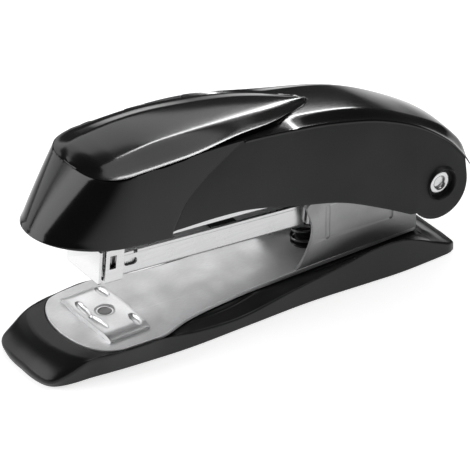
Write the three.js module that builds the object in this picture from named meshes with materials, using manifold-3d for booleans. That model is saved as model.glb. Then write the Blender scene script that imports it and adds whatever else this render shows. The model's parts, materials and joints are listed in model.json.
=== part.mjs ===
// Desktop half-strip stapler for 24/6 staples, in its rest position.
// Millimetres. X runs along the stapler with the nose towards -X, Y = 0 is the plane of
// symmetry, and Z is up from the surface that it stands on.
import * as THREE from "three";
import { mergeVertices } from "three/addons/utils/BufferGeometryUtils.js";
import Module from "manifold-3d";

const wasm = await Module();
wasm.setup();

// ---------------------------------------------------------------- driving dimensions
const BASE_FRONT_X = -69.9; // front lip of the base
const HANDLE_REAR_X = 67.8; // rear lip of the handle
const CENTRE_X = (BASE_FRONT_X + HANDLE_REAR_X) / 2;
const GAP = 0.3; // clearance between neighbouring pieces

const HINGE_X = 57.0; // rivet that joins base, magazine and handle
const HINGE_Z = 19.8;
const RIVET_R = 2.7;
const MAGAZINE_TILT = THREE.MathUtils.degToRad(5.1); // nose-up angle at rest

const FOOT_Z = 0.4; // underside of the plastic shell
const SHELL_FLOOR_Z = 2.8; // top of the hollow under the shell
const PLATE_TOP_Z = 7.35;
const PLATE_T = 1.3;
const PLATE_BOTTOM_Z = PLATE_TOP_Z - PLATE_T;
const BRACKET_Y = 11.0; // outer face of the bent-up cheeks of the base plate
const BRACKET_T = 1.0;
const RIB_T = 0.15; // height of the ribs pressed into the bracket

const ANVIL_X = -43.6; // pivot of the turning anvil
const ANVIL_TOP_Z = 8.9;
const ANVIL_HALF_X = 6.55;
const ANVIL_HALF_Y = 12.1;
const ANVIL_STEM_R = 1.7;
const BUTTON_R = 4.2;

const CHANNEL_Y = 7.15; // outer half-width of the magazine channel
const CHANNEL_BOTTOM = -6.05; // heights and lengths of the magazine are from the rivet
const CHANNEL_TOP = 1.0;
const CHANNEL_REAR = -41.2;
const CHANNEL_FRONT = -99.6;
const SHEET_T = 0.65;
const NOSE_FRONT = -107.0;
const NOSE_BOTTOM = -6.6;
const NOSE_TOP = 3.0;
const NOSE_Y = 7.9;
const NOSE_PLATE_T = 0.7;
const SLOT_T = 1.1; // slot that the driver blade runs in
const SLEEVE_FRONT = NOSE_FRONT + NOSE_PLATE_T + SLOT_T;
const STAPLE_Y = 6.3;
const STAPLE_TOP = 0.4;
const STAPLE_BOTTOM = -5.25;
const WIRE_T = 0.55;
const STRIP_FRONT = SLEEVE_FRONT + GAP;
const STRIP_LENGTH = 34;
const PUSHER_LENGTH = 8;

const LEVER_Y = 11.95; // outer half-width of the steel lever frame in the handle
const LEVER_T = 0.7;
const CHEEK_INNER_Y = 12.55;
const LEVER_CLEAR_Z = 43.4; // height above the lever frame from which the cheeks lean inwards
const CHEEK_REAR_Y = 14.3;
const WALL_T = 1.7; // wall thickness of the handle mouldings
const ROUND_END_X = 56.2; // centre of the round rear end of the handle
const ROUND_END_R = 10.0;
const LIP_BOTTOM_Z = 20.6; // underside of the lip at the rear of the handle

// ---------------------------------------------------------------- materials
const blackPlastic = new THREE.MeshStandardMaterial({ color: 0x17181a, roughness: 0.42 });
const greyPlastic = new THREE.MeshStandardMaterial({ color: 0x232426, roughness: 0.5 });
const rubber = new THREE.MeshStandardMaterial({ color: 0x111111, roughness: 0.9 });
const satinSteel = new THREE.MeshStandardMaterial({ color: 0xc4c5c8, roughness: 0.38, metalness: 1 });
const nickel = new THREE.MeshStandardMaterial({ color: 0xe4e4e6, roughness: 0.18, metalness: 1 });
const springSteel = new THREE.MeshStandardMaterial({ color: 0x5a5c60, roughness: 0.35, metalness: 1 });

// ---------------------------------------------------------------- geometry helpers
const { lerp, smoothstep } = THREE.MathUtils;
const points = (pairs) => pairs.map(([a, b]) => new THREE.Vector2(a, b));
const mirrored = (pairs) => [...pairs, ...pairs.map(([x, y]) => [x, -y]).reverse()];

// A smooth value along x through a few given [x, value] pairs.
function along(pairs) {
  const slope = pairs.map((p, i) => {
    const a = pairs[Math.max(i - 1, 0)];
    const b = pairs[Math.min(i + 1, pairs.length - 1)];
    return (b[1] - a[1]) / (b[0] - a[0]);
  });
  return (x) => {
    let i = 0;
    while (i < pairs.length - 2 && x > pairs[i + 1][0]) i += 1;
    const [x0, v0] = pairs[i];
    const [x1, v1] = pairs[i + 1];
    const span = x1 - x0;
    const t = THREE.MathUtils.clamp((x - x0) / span, 0, 1);
    const s = t * t * (3 - 2 * t);
    const m = t * (1 - t) * span;
    return v0 + (v1 - v0) * s + m * ((1 - t) * slope[i] - t * slope[i + 1]);
  };
}

function clean(geometry) {
  const bare = geometry.clone();
  bare.deleteAttribute("normal");
  bare.deleteAttribute("uv");
  return mergeVertices(bare, 1e-4);
}

function toSolid(geometry) {
  const merged = clean(geometry);
  const vertProperties = new Float32Array(merged.attributes.position.array);
  const triVerts = new Uint32Array(merged.index.array);
  return new wasm.Manifold(new wasm.Mesh({ numProp: 3, vertProperties, triVerts }));
}

function toGeometry(solid) {
  const { vertProperties, triVerts, numProp } = solid.getMesh();
  const geometry = new THREE.BufferGeometry();
  const positions = new Float32Array((vertProperties.length / numProp) * 3);
  for (let i = 0; i < positions.length / 3; i += 1) {
    positions.set(vertProperties.subarray(i * numProp, i * numProp + 3), i * 3);
  }
  geometry.setAttribute("position", new THREE.BufferAttribute(positions, 3));
  geometry.setIndex(new THREE.BufferAttribute(new Uint32Array(triVerts), 1));
  geometry.computeVertexNormals();
  return geometry;
}

const joined = (first, ...others) => others.reduce((sum, s) => sum.add(s), first);
const cut = (first, ...others) => others.reduce((rest, s) => rest.subtract(s), first);

function mesh(name, shape, material) {
  const geometry = shape.isBufferGeometry ? shape : toGeometry(shape);
  const piece = new THREE.Mesh(geometry, material);
  piece.name = name;
  return piece;
}

// A plate cut from an outline in X and Y, between two heights.
function plate(outline, z0, z1, holes = []) {
  const shape = new THREE.Shape(points(outline));
  shape.holes = holes.map((hole) => new THREE.Path(points(hole)));
  const geometry = new THREE.ExtrudeGeometry(shape, { depth: z1 - z0, bevelEnabled: false });
  return toSolid(geometry.translate(0, 0, z0));
}

// A plate cut from an outline in X and Z, between two Y values.
function sidePlate(outline, y0, y1, holes = []) {
  const shape = new THREE.Shape(points(outline));
  shape.holes = holes.map((hole) => new THREE.Path(points(hole)));
  const geometry = new THREE.ExtrudeGeometry(shape, { depth: y1 - y0, bevelEnabled: false });
  return toSolid(geometry.rotateX(Math.PI / 2).translate(0, y1, 0));
}

const pair = (make) => joined(make(1), make(-1));

// Two Y values as a low and a high one, on the +Y side (s = 1) or the -Y side (s = -1).
const onSide = (s, y0, y1) => (s > 0 ? [y0, y1] : [-y1, -y0]);

function block(x0, x1, y0, y1, z0, z1) {
  const geometry = new THREE.BoxGeometry(x1 - x0, y1 - y0, z1 - z0);
  return toSolid(geometry.translate((x0 + x1) / 2, (y0 + y1) / 2, (z0 + z1) / 2));
}

function arc(cx, cy, r, from, to, steps) {
  const step = (to - from) / steps;
  return Array.from({ length: steps + 1 }, (_, i) => {
    const a = THREE.MathUtils.degToRad(from + i * step);
    return [cx + r * Math.cos(a), cy + r * Math.sin(a)];
  });
}

const circle = (cx, cy, r, steps = 20) => arc(cx, cy, r, 0, 360 - 360 / steps, steps - 1);

// A rod along Y.
function crossRod(x, z, r, y0, y1, steps = 20) {
  const geometry = new THREE.CylinderGeometry(r, r, y1 - y0, steps);
  return toSolid(geometry.translate(x, (y0 + y1) / 2, z));
}

// A turned piece about a vertical axis, from a profile of radius and height.
function turned(x, y, profile, steps = 24) {
  const geometry = new THREE.LatheGeometry(points(profile), steps);
  return toSolid(geometry.rotateX(Math.PI / 2).translate(x, y, 0));
}

// A closed body through rings of equal point count, with flat ends.
function loft(rings) {
  const n = rings[0].length;
  const positions = rings.flat().flatMap((p) => [p.x, p.y, p.z]);
  const index = [];
  for (let r = 0; r + 1 < rings.length; r += 1) {
    for (let i = 0; i < n; i += 1) {
      const j = (i + 1) % n;
      const [a, b, c, d] = [r * n + i, r * n + j, (r + 1) * n + j, (r + 1) * n + i];
      index.push(a, b, c, a, c, d);
    }
  }
  const capFaces = (ring) => THREE.ShapeUtils.triangulateShape(flattened(ring), []);
  for (const [a, b, c] of capFaces(rings[0])) index.push(a, c, b);
  const last = (rings.length - 1) * n;
  for (const [a, b, c] of capFaces(rings.at(-1))) index.push(last + a, last + b, last + c);
  const geometry = new THREE.BufferGeometry();
  geometry.setAttribute("position", new THREE.Float32BufferAttribute(positions, 3));
  geometry.setIndex(index);
  return toSolid(geometry);
}

// The points of a flat ring in its own plane, anticlockwise seen along the loft.
function flattened(ring) {
  const normal = new THREE.Vector3();
  ring.forEach((p, i) => normal.add(new THREE.Vector3().crossVectors(p, ring[(i + 1) % ring.length])));
  normal.normalize();
  const side = new THREE.Vector3(0, 1, 0);
  const up = new THREE.Vector3().crossVectors(normal, side).normalize();
  return ring.map((p) => new THREE.Vector2(p.dot(side), p.dot(up)));
}

// A ring from its +Y half, given from the lowest point to the one in the middle of the top.
function wholeRing(half) {
  const left = half.filter(({ y }) => y > 0).map(({ x, y, z }) => new THREE.Vector3(x, -y, z));
  return [...half, ...left.reverse()];
}

const section = (x, half) => wholeRing(half.map(([y, z]) => new THREE.Vector3(x, y, z)));

// A helical spring about a vertical axis, with one flat closed turn at each end.
function coilSpring(x, y, radius, wire, z0, z1, turns, stepsPerTurn = 14) {
  const low = z0 + wire;
  const high = z1 - wire;
  const ends = 0.75;
  const all = turns + 2 * ends;
  class Helix extends THREE.Curve {
    getPoint(t, target = new THREE.Vector3()) {
      const turn = t * all;
      const rise = THREE.MathUtils.clamp((turn - ends) / turns, 0, 1);
      const flat = Math.min(turn - ends, 0) + Math.max(turn - ends - turns, 0);
      const z = low + (high - low - 3.2 * wire) * rise + 1.6 * wire * (1 + flat / ends);
      const a = turn * 2 * Math.PI;
      return target.set(x + radius * Math.cos(a), y + radius * Math.sin(a), z);
    }
  }
  const ring = new THREE.Shape(points(circle(0, 0, wire, 6)));
  const steps = Math.round(all * stepsPerTurn);
  return new THREE.ExtrudeGeometry(ring, { steps, extrudePath: new Helix(), bevelEnabled: false });
}

// ---------------------------------------------------------------- base
// Half plan of the steel base plate, from the middle of its front edge to its rear end.
const PLATE_HALF_PLAN = [
  [-57.6, 0], [-57.3, 3.6], [-56.1, 7.4], [-55.6, 10.4], [-54.1, 12.6], [-51.6, 15.4],
  [-46.5, 16.2], [-40.5, 16.6], [-35.2, 16.3], [-27.8, 13.8], [-21.4, 12.5], [-13.5, 11.7],
  [-5.9, 11.2], [7.5, BRACKET_Y], [50.7, BRACKET_Y],
];

function grown(halfPlan, distance) {
  return halfPlan.map(([x, y], i) => {
    const before = halfPlan[Math.max(i - 1, 0)];
    const after = halfPlan[Math.min(i + 1, halfPlan.length - 1)];
    const [dx, dy] = i === 0 ? [0, 1] : [after[0] - before[0], after[1] - before[1]];
    const scale = distance / Math.hypot(dx, dy);
    return [x - dy * scale, y + dx * scale];
  });
}

const shellBottomY = along([
  [-69.9, 4.6], [-69.2, 6.8], [-67.6, 10.6], [-62.5, 12.6], [-54.4, 14.1], [-45.8, 15.2], [-28, 16.7],
  [-8.8, 16.7], [10.8, 16.7], [29.8, 18.1], [39.4, 18.8], [49.9, 18.7], [57.1, 18.3], [58.9, 17.4],
]);
const shellCrestY = along([
  [-69.9, 5.0], [-69.2, 7.2], [-67.9, 12.0], [-57.4, 15.2], [-52, 16.5], [-46.3, 17.2], [-40.5, 17.6],
  [-35.7, 17.4], [-20, 17.2], [2.9, 17.2], [23, 17.9], [36.7, 18.5], [57.1, 18.2], [58.9, 17.3],
]);
const shellCrestZ = along([
  [-69.9, 1.9], [-67.9, 2.3], [-57.4, 6.3], [-52, 6.7], [-40.5, 6.9], [-35.7, 6.6], [-26, 4.9], [-13.5, 3.9],
  [-5.8, 4.5], [2.9, 6.0], [12.1, 7.4], [23.2, 9.2], [29, 10.4], [36.7, 10.8], [41.5, 10.1],
  [46.4, 8.2], [51.2, 5.7], [57, 3.1], [58.9, 2.6],
]);
const shellMiddleZ = along([[-69.9, 2.1], [-66.4, 5.1], [-62.8, 6.8], [-57, 7.0], [-38, 7.0]]);
const LEDGE_Z = PLATE_BOTTOM_Z - GAP;
const TAIL_Z = 2.9; // top of the shell at its rear end

// Height of the shell inside its crest: level with the plate at the nose, then the ledge that
// the plate lies on, then down to the tail.
function shellFloorZ(x) {
  const waist = smoothstep(x, -40, -34);
  const tail = smoothstep(x, 51.5, 58.5);
  return lerp(lerp(shellMiddleZ(Math.min(x, -38)), LEDGE_Z, waist), TAIL_Z, tail);
}

function shellSection(x) {
  const front = x < -62;
  const floor = shellFloorZ(x);
  const crestY = shellCrestY(x);
  const crestZ = shellCrestZ(x);
  const innerY = front ? crestY * 0.6 : 12.4;
  const innerZ = front ? lerp(floor, crestZ, 1 / 3) : floor;
  return section(x, [
    [shellBottomY(x), FOOT_Z], [crestY, crestZ], [crestY - 0.9, crestZ + 0.05], [innerY, innerZ], [0, floor],
  ]);
}

function baseShell() {
  const stations = [
    -69.9, -69.2, -67.9, -66, -64, -62.8, -60.6, -57.4, -54.6, -52, -46.3, -40.5, -35.7, -30, -26, -20,
    -13.5, -5.8, 2.9, 12.1, 18, 23.2, 29, 33, 36.7, 41.5, 46.4, 51.2, 54.5, 57, 58.9,
  ];
  const outer = loft(stations.map(shellSection));
  const seat = grown(PLATE_HALF_PLAN, GAP).slice(1);
  const recess = plate(mirrored([[-57.9, 0.01], ...seat, [51.1, BRACKET_Y + GAP]]), LEDGE_Z, 30);
  const hollowEdge = (x) => [x, shellBottomY(x) - 2.6];
  const hollow = plate(mirrored([-51, -40, -20, 0, 20, 35].map(hollowEdge)), -1, SHELL_FLOOR_Z);
  const buttonWell = turned(ANVIL_X, 0, [[0, -1], [BUTTON_R + 0.8, -1], [BUTTON_R + 0.8, 9], [0, 9]]);
  return cut(outer, recess, hollow, buttonWell);
}

function basePad(x0, x1) {
  const edge = (x) => [x, shellBottomY(x) - 1.2];
  return plate(mirrored([x0, (x0 + x1) / 2, x1].map(edge)), 0, FOOT_Z - 0.05);
}

// The plate runs flat from the nose to the rear, where its sides are bent up as the bracket.
function basePlate() {
  const stemHole = circle(ANVIL_X, 0, ANVIL_STEM_R + GAP);
  const flat = plate(mirrored(PLATE_HALF_PLAN), PLATE_BOTTOM_Z, PLATE_TOP_Z, [stemHole]);
  const cheekOutline = [
    [8.0, PLATE_BOTTOM_Z + 0.2], [9.0, 7.4], [11.3, 8.0], [13.2, 10.5], [14.8, 13.6], [15.7, 16.5],
    [15.6, 18.9], [15.1, 21.2], [13.9, 23.9], [13.7, 25.4], [15.1, 26.6], [30, 26.9],
    ...arc(HINGE_X, HINGE_Z, 7.0, 100, -40, 10), [50.7, 12], [50.7, PLATE_BOTTOM_Z + 0.2],
  ].reverse();
  const rivetHole = circle(HINGE_X, HINGE_Z, RIVET_R + 0.05);
  const cheek = (s) => {
    const [inner, outer] = [BRACKET_Y - BRACKET_T, BRACKET_Y + RIB_T];
    return joined(
      sidePlate(cheekOutline, ...onSide(s, inner, BRACKET_Y), [rivetHole]),
      block(19.9, 21.2, ...onSide(s, inner + 0.5, outer), 13.7, 24.2),
      block(41.2, 42.5, ...onSide(s, inner + 0.5, outer), 12.7, 18),
    );
  };
  return joined(flat, pair(cheek));
}

function hingeRivet() {
  const shaft = crossRod(HINGE_X, HINGE_Z, RIVET_R, -12.3, 12.3);
  const head = (s) => cut(
    crossRod(HINGE_X, HINGE_Z, 3.1, ...onSide(s, 12.25, 13)),
    crossRod(HINGE_X, HINGE_Z, 1.6, ...onSide(s, 12.5, 14)),
  );
  return joined(shaft, pair(head));
}

function hingeWasher(s) {
  const disc = crossRod(HINGE_X, HINGE_Z, 5.0, ...onSide(s, 9, 9.7));
  return cut(disc, crossRod(HINGE_X, HINGE_Z, RIVET_R + 0.05, -20, 20));
}

// Outline of a groove along Y with round ends.
function groove(cx, cy, halfX, halfY) {
  const reach = halfY - halfX;
  return [...arc(cx, cy + reach, halfX, 0, 180, 8), ...arc(cx, cy - reach, halfX, 180, 360, 8)];
}

function anvilPlate() {
  const bow = 0.45;
  const outline = [
    [ANVIL_X - ANVIL_HALF_X, 0], [ANVIL_X - ANVIL_HALF_X + bow, -ANVIL_HALF_Y],
    [ANVIL_X + ANVIL_HALF_X - bow, -ANVIL_HALF_Y], [ANVIL_X + ANVIL_HALF_X, 0],
    [ANVIL_X + ANVIL_HALF_X - bow, ANVIL_HALF_Y], [ANVIL_X - ANVIL_HALF_X + bow, ANVIL_HALF_Y],
  ];
  const body = plate(outline, PLATE_TOP_Z + GAP, ANVIL_TOP_Z, [circle(ANVIL_X, 0, 2.3)]);
  const grooveZ = ANVIL_TOP_Z - 0.6;
  const front = plate(groove(ANVIL_X - 4.6, 0, 1.1, 7.4), grooveZ, 12);
  const rear = pair((s) => plate(groove(ANVIL_X + 4.5, s * 8.1, 1.1, 2.9), grooveZ, 12));
  return cut(body, front, rear);
}

function anvilPivot() {
  const top = ANVIL_TOP_Z - 0.15;
  return turned(ANVIL_X, 0, [[0, 7.95], [2.0, 7.95], [2.0, top], [0, top]]);
}

function anvilButton() {
  return turned(ANVIL_X, 0, [
    [0, 0.9], [BUTTON_R - 0.5, 0.9], [BUTTON_R, 1.4], [BUTTON_R, 2.6], [ANVIL_STEM_R, 2.6],
    [ANVIL_STEM_R, PLATE_TOP_Z + 0.3], [0, PLATE_TOP_Z + 0.3],
  ]);
}

const RETURN_SPRING_X = 21;

function springSeat() {
  const profile = [[0, 0], [4.9, 0], [4.9, 0.5], [2.9, 0.5], [2.6, 2.4], [0, 2.4]];
  return turned(RETURN_SPRING_X, 0, profile.map(([r, h]) => [r, PLATE_TOP_Z + GAP + h]));
}

// ---------------------------------------------------------------- magazine
// Its pieces are drawn level, with the rivet at the origin, and the group tilts them.
function magazineChannel() {
  const inner = CHANNEL_Y - SHEET_T;
  const front = CHANNEL_FRONT - 4.5;
  const outside = block(front, CHANNEL_REAR, -CHANNEL_Y, CHANNEL_Y, CHANNEL_BOTTOM, CHANNEL_TOP);
  const inside = block(-120, 0, -inner, inner, CHANNEL_BOTTOM + SHEET_T - 0.1, 9);
  const hem = pair((s) => {
    const [a, b] = onSide(s, CHANNEL_Y - 0.1, CHANNEL_Y + 0.2);
    return block(-95.2, CHANNEL_REAR, a, b, CHANNEL_TOP - 0.9, CHANNEL_TOP);
  });
  const slot = sidePlate([
    ...arc(-95.95, -2.3, 1.0, 90, -90, 8), ...arc(-98, -2.3, 1.0, 270, 90, 8),
  ].reverse(), -20, 20);
  const notch = block(-96.4, -95.2, -20, 20, 0.1, 9);
  return cut(joined(outside, hem), inside, slot, notch);
}

function noseSleeve() {
  const inner = CHANNEL_Y + 0.1;
  const outside = block(SLEEVE_FRONT, CHANNEL_FRONT, -NOSE_Y, NOSE_Y, NOSE_BOTTOM, NOSE_TOP);
  const inside = block(-120, 0, -inner, inner, CHANNEL_BOTTOM - 0.1, 9);
  const window = block(-103.9, -102.0, -20, 20, -2.6, 1.2);
  return cut(outside, inside, window);
}

const nosePlate = () => block(
  NOSE_FRONT, NOSE_FRONT + NOSE_PLATE_T, -NOSE_Y, NOSE_Y, NOSE_BOTTOM, NOSE_TOP,
);

// A saddle along X that stands astride the middle, with its wall thickness.
function saddle(x0, x1, y, top, thickness) {
  const inner = y - thickness;
  const tunnel = block(x0 - 1, x1 + 1, -inner, inner, STAPLE_BOTTOM - 1, top - thickness);
  return cut(block(x0, x1, -y, y, STAPLE_BOTTOM, top), tunnel);
}

const stapleRail = () => saddle(
  SLEEVE_FRONT + 0.2, CHANNEL_REAR, STAPLE_Y - WIRE_T - GAP, STAPLE_TOP - WIRE_T - GAP, 1,
);

const stapleStrip = () => saddle(STRIP_FRONT, STRIP_FRONT + STRIP_LENGTH, STAPLE_Y, STAPLE_TOP, WIRE_T);

const PUSHER_FRONT = STRIP_FRONT + STRIP_LENGTH + GAP;
const PUSHER_REAR = PUSHER_FRONT + PUSHER_LENGTH;
const ROD_Z = -3;

const pusher = () => saddle(PUSHER_FRONT, PUSHER_REAR, STAPLE_Y, STAPLE_TOP, WIRE_T);

function pusherRod() {
  const rod = new THREE.CylinderGeometry(0.8, 0.8, 58, 10).rotateZ(Math.PI / 2);
  return toSolid(rod.translate(-71, 0, ROD_Z));
}

function pusherSpring() {
  const front = PUSHER_REAR + GAP;
  const spring = coilSpring(0, 0, 1.25, 0.2, 0, CHANNEL_REAR - 1 - front, 7, 9);
  return spring.rotateY(Math.PI / 2).translate(front, 0, ROD_Z);
}

// Side arms that carry the magazine back to the rivet, with a web over the return spring.
function magazineArm() {
  const outline = [
    [-40.9, -5.0], [-26, -5.0], ...arc(0, 0, 5.0, 260, 450, 10), [-26, 1.0], [-40.9, 1.0],
  ];
  const side = (s) => sidePlate(outline, ...onSide(s, 7.6, 8.6), [circle(0, 0, RIVET_R + 0.1)]);
  const web = block(-40.9, -26, -8, 8, -5.0, -4.2);
  const stop = block(-40.9, -40.1, -8, 8, -5.0, -1.2);
  const gate = block(-60, 0, -5.9, 5.9, -4.1, 3);
  return cut(joined(pair(side), web, stop), gate);
}

// Torsion spring round the rivet that lifts the handle.
function handleSpring() {
  const [turns, radius, halfLength, wire] = [5, 4.1, 5, 0.6];
  class Coil extends THREE.Curve {
    getPoint(t, target = new THREE.Vector3()) {
      const a = t * turns * 2 * Math.PI;
      return target.set(radius * Math.cos(a), halfLength * (2 * t - 1), radius * Math.sin(a));
    }
  }
  const ring = new THREE.Shape(points(circle(0, 0, wire, 6)));
  return new THREE.ExtrudeGeometry(ring, { steps: 70, extrudePath: new Coil(), bevelEnabled: false });
}

// ---------------------------------------------------------------- handle
const handleSideY = along([
  [-44, 16.5], [-34.3, 16.4], [-17, 15.5], [10, 14.7], [23, 14.5], [66, CHEEK_REAR_Y],
]);
const capBottomZ = (x) => 37.25 - 0.13 * (x + 48.2);
const cheekBottomZ = along([
  [-34, 37.4], [-17.1, 36.0], [-7, 34.5], [9.8, 29.7], [22.8, 25.9], [35.9, 19.7], [48.2, 13.0],
]);
// The crease that parts the side of the handle from its top, and the height of the top's middle
// above it.
const creaseY = along([
  [-42.4, 15], [-33, 15.3], [-23.6, 15], [-14, 13.2], [-6.5, 12.1], [2, 12.4], [11.7, 12.8],
  [26.2, 13.1], [37, 13.3], [67, 13],
]);
const creaseZ = along([
  [-42.4, 56.4], [-33, 56.3], [-23.6, 56.3], [-14, 55.3], [-6.5, 53.6], [2, 52.3], [11.7, 50.9], [26.2, 47.8],
  [37, 44.9], [49.8, 39], [60.6, 31.4], [66.2, 24.9], [HANDLE_REAR_X, 22.4],
]);
const crownRise = along([
  [-42.4, 1.4], [-8, 1.4], [11, 2.0], [26, 2.8], [41, 2.5], [57, 1.8], [HANDLE_REAR_X, 1.6],
]);

function roundEndZ(x) {
  const dx = x - ROUND_END_X;
  return HINGE_Z - Math.sqrt(Math.max(ROUND_END_R ** 2 - dx * dx, 0));
}

function handleBottomZ(x) {
  if (x < -33) return capBottomZ(x);
  if (x > ROUND_END_X + ROUND_END_R) return LIP_BOTTOM_Z;
  return x < 48.2 ? cheekBottomZ(x) : roundEndZ(x);
}

// The outside of the handle, or its inside when given a wall thickness.
function handleSection(x, wall = 0) {
  const sideY = handleSideY(x) - wall;
  const topY = creaseY(x) - wall;
  const edgeZ = creaseZ(x) - wall;
  const bottom = wall > 0 ? handleBottomZ(x) - 12 : handleBottomZ(x);
  return section(x, [
    [sideY, bottom],
    [(sideY + topY) / 2 + 0.3, (handleBottomZ(x) + edgeZ) / 2],
    [topY, edgeZ],
    [topY * 0.55, edgeZ + crownRise(x) * 0.85],
    [0, edgeZ + crownRise(x)],
  ]);
}

// Rounds of the nose from its middle back to its side: X and Y of the lower rim, then X and Y of
// the upper edge. The front is ruled from one to the other.
const NOSE_ROUND = [
  [-65.9, 1.4, -52.7, 1.4], [-64.8, 5.1, -52.5, 4.6], [-61.9, 9.5, -52.1, 8.9], [-58.7, 12.3, -50.4, 10.6],
  [-54.3, 14.6, -48.0, 12.4], [-49.3, 16.0, -45.2, 13.9], [-44, 16.5, -42.4, 15],
];

function noseRing([lowX, lowY, highX, highY], wall = 0) {
  const outward = new THREE.Vector2(lowX - NOSE_ROUND.at(-1)[0], lowY).normalize();
  const inset = outward.multiplyScalar(wall * (1 + 0.35 * Math.abs(outward.x)));
  const reach = wall > 0 ? -0.15 : 0;
  const swell = 0.25;
  const at = (share, bulge) => new THREE.Vector3(
    lerp(lowX, highX, share) - inset.x,
    lerp(lowY, highY, share) - inset.y + bulge,
    lerp(capBottomZ(lowX), padEdgeZ(highX) - wall, share),
  );
  const top = at(1, 0);
  const crown = (share, rise) => new THREE.Vector3(top.x, top.y * share, top.z + rise);
  return wholeRing([at(reach, 0), at(0.5, swell), top, crown(0.55, 0.4), crown(0, 0.5)]);
}

const HANDLE_STATIONS = [
  -40, -33.01, -33, -25, -20, -17.1, -12, -7, 2, 9.8, 16, 22.8, 29, 35.9, 42, 48.2, 50, 53, 56.2, 59.5,
  62, 64, 65.4, 66.1, 67, HANDLE_REAR_X,
];

const padEdgeY = along([
  [-52.1, 8.9], [-49.2, 11.6], [-42.4, 15], [-33, 15.3], [-23.6, 15], [-8.7, 11.6], [6.3, 8.0], [14, 5.0],
  [18.6, 2.6], [20.3, 0.6],
]);
const padEdgeZ = along([
  [-52.1, 56], [-49.2, 55.8], [-42.4, 56.5], [-23.6, 56.5], [-8.7, 55.9], [6.3, 54.3], [20.3, 51.7],
]);
const padRidgeZ = along([
  [-52.1, 56.6], [-42.4, 58.2], [-32.8, 59.1], [-23, 58.8], [-8.7, 57.5], [2, 56.0], [12, 54.0],
  [20.3, 51.8],
]);
const PAD_STATIONS = [-51.8, -49.2, -46, -42.4, -33, -23.6, -16, -8.7, -1, 6.3, 12, 16, 18.6, 20.3];
const PAD_T = 2.3;
const PAD_FOLD = 0.53; // place of the pad's ridge, as a share of its half-width
const padFrontBow = (x, y) => 0.6 * (1 - smoothstep(x, -51.8, -46)) * (1 - (y / 8.9) ** 2);

const handleShell = cut(
  loft([...NOSE_ROUND.map((line) => noseRing(line)), ...HANDLE_STATIONS.map((x) => handleSection(x))]),
  loft([
    ...NOSE_ROUND.map((line) => noseRing(line, WALL_T)),
    ...HANDLE_STATIONS.filter((x) => x < 65.5).map((x) => handleSection(x, WALL_T)),
  ]),
);

// Seam between the nose cap and the rear of the handle, in X and Z.
const SEAM = [
  [-32.6, 20], [-32.6, 37.0], [-30.5, 41], [-27.7, 45], [-23, 48.8], [-16.8, 52.4], [-12.2, 54.6],
  [-9.3, 55.9], [-7, 57.4], [-7, 70],
];

const bedHeights = sidePlate([[-60, 53.2], [-20, 53.6], [-2, 52.4], [25, 46], [25, 80], [-60, 80]], -30, 30);
const bedOutline = [
  [-52.75, 0.1], [-52.6, 4.4], [-52.1, 8.6], ...PAD_STATIONS.slice(1).map((x) => [x, padEdgeY(x)]),
  [20.6, 0.4],
];
const padOpening = plate(mirrored(bedOutline), 40, 80).intersect(bedHeights);

function noseCap() {
  const region = sidePlate([...SEAM, [-90, 70], [-90, 20]].reverse(), -30, 30);
  return cut(handleShell.intersect(region), padOpening);
}

const seamBehind = SEAM.map(([x, z]) => [x + GAP, z - GAP]);
const rearShell = handleShell.intersect(
  sidePlate([...seamBehind, [90, 70], [90, -20], [-32.3, -20]], -30, 30),
);

const CREASE_STATIONS = [-40, -23.6, -17, -12, -6.5, 2, 11, 19, 27, 37, 44, 50, 55.5, 61, 64, 66.2];
const creaseLine = CREASE_STATIONS.map((x) => [x, creaseZ(x)]);

function cheek(s) {
  const underCrease = creaseLine.map(([x, z]) => [x, z - GAP]).reverse();
  const below = sidePlate([[-40, -30], [80, -30], [80, 18], ...underCrease], -30, 30);
  const rear = ROUND_END_X + ROUND_END_R;
  const side = joined(
    block(-40, rear, ...onSide(s, CHEEK_INNER_Y, 30), -30, LEVER_CLEAR_Z + 0.1),
    block(-40, rear, ...onSide(s, 9, 30), LEVER_CLEAR_Z, 80),
  );
  const well = crossRod(HINGE_X, HINGE_Z, 4.7, ...onSide(s, 10, 30), 28);
  return cut(rearShell.intersect(below).intersect(side), well, padOpening);
}

function spineCover() {
  const above = sidePlate([...creaseLine, [80, 18], [80, 80], [-40, 80]], -30, 30);
  return cut(rearShell.intersect(above), padOpening);
}

function topPad() {
  const ring = (x) => {
    const edge = padEdgeY(x) - GAP;
    const heights = [[1, padEdgeZ(x)], [PAD_FOLD, padRidgeZ(x)], [0, padRidgeZ(x) + 0.5]];
    const line = [...heights, ...heights.slice(0, 2).reverse().map(([share, z]) => [-share, z])];
    const top = line.map(([share, z]) => {
      const y = share * edge;
      return new THREE.Vector3(x - padFrontBow(x, y), y, z);
    });
    const under = top.map((p) => new THREE.Vector3(p.x, p.y * 0.97, p.z - PAD_T));
    return [...top, ...under.reverse()];
  };
  return loft(PAD_STATIONS.map(ring));
}

const LEVER_SIDE = [
  [-45.4, 35.4], [-30.9, 33.4], [-4.8, 31.4], [20, 28.6], [34, 24], [50, 14.6],
  ...arc(HINGE_X, HINGE_Z, 5.6, 240, 440, 10), [46, 29], [32, 36.4], [10, 40.5], [-20, 42.2], [-45.4, 43],
];

// Two steel sides joined by a web along the front part of their top.
function leverFrame() {
  const sides = sidePlate(LEVER_SIDE, -LEVER_Y, LEVER_Y, [circle(HINGE_X, HINGE_Z, RIVET_R + 0.1)]);
  const underWeb = [[-60, 0], [-60, 41.9], [-20, 41.2], [10, 39.5], [26, 36.6], [26, 60], [80, 60], [80, 0]];
  const insideY = LEVER_Y - LEVER_T;
  return cut(sides, sidePlate(underWeb.reverse(), -insideY, insideY));
}

const BLADE_R = 106.1;
const BLADE_T = 0.5;
const BLADE_Y = 6.2;

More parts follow.
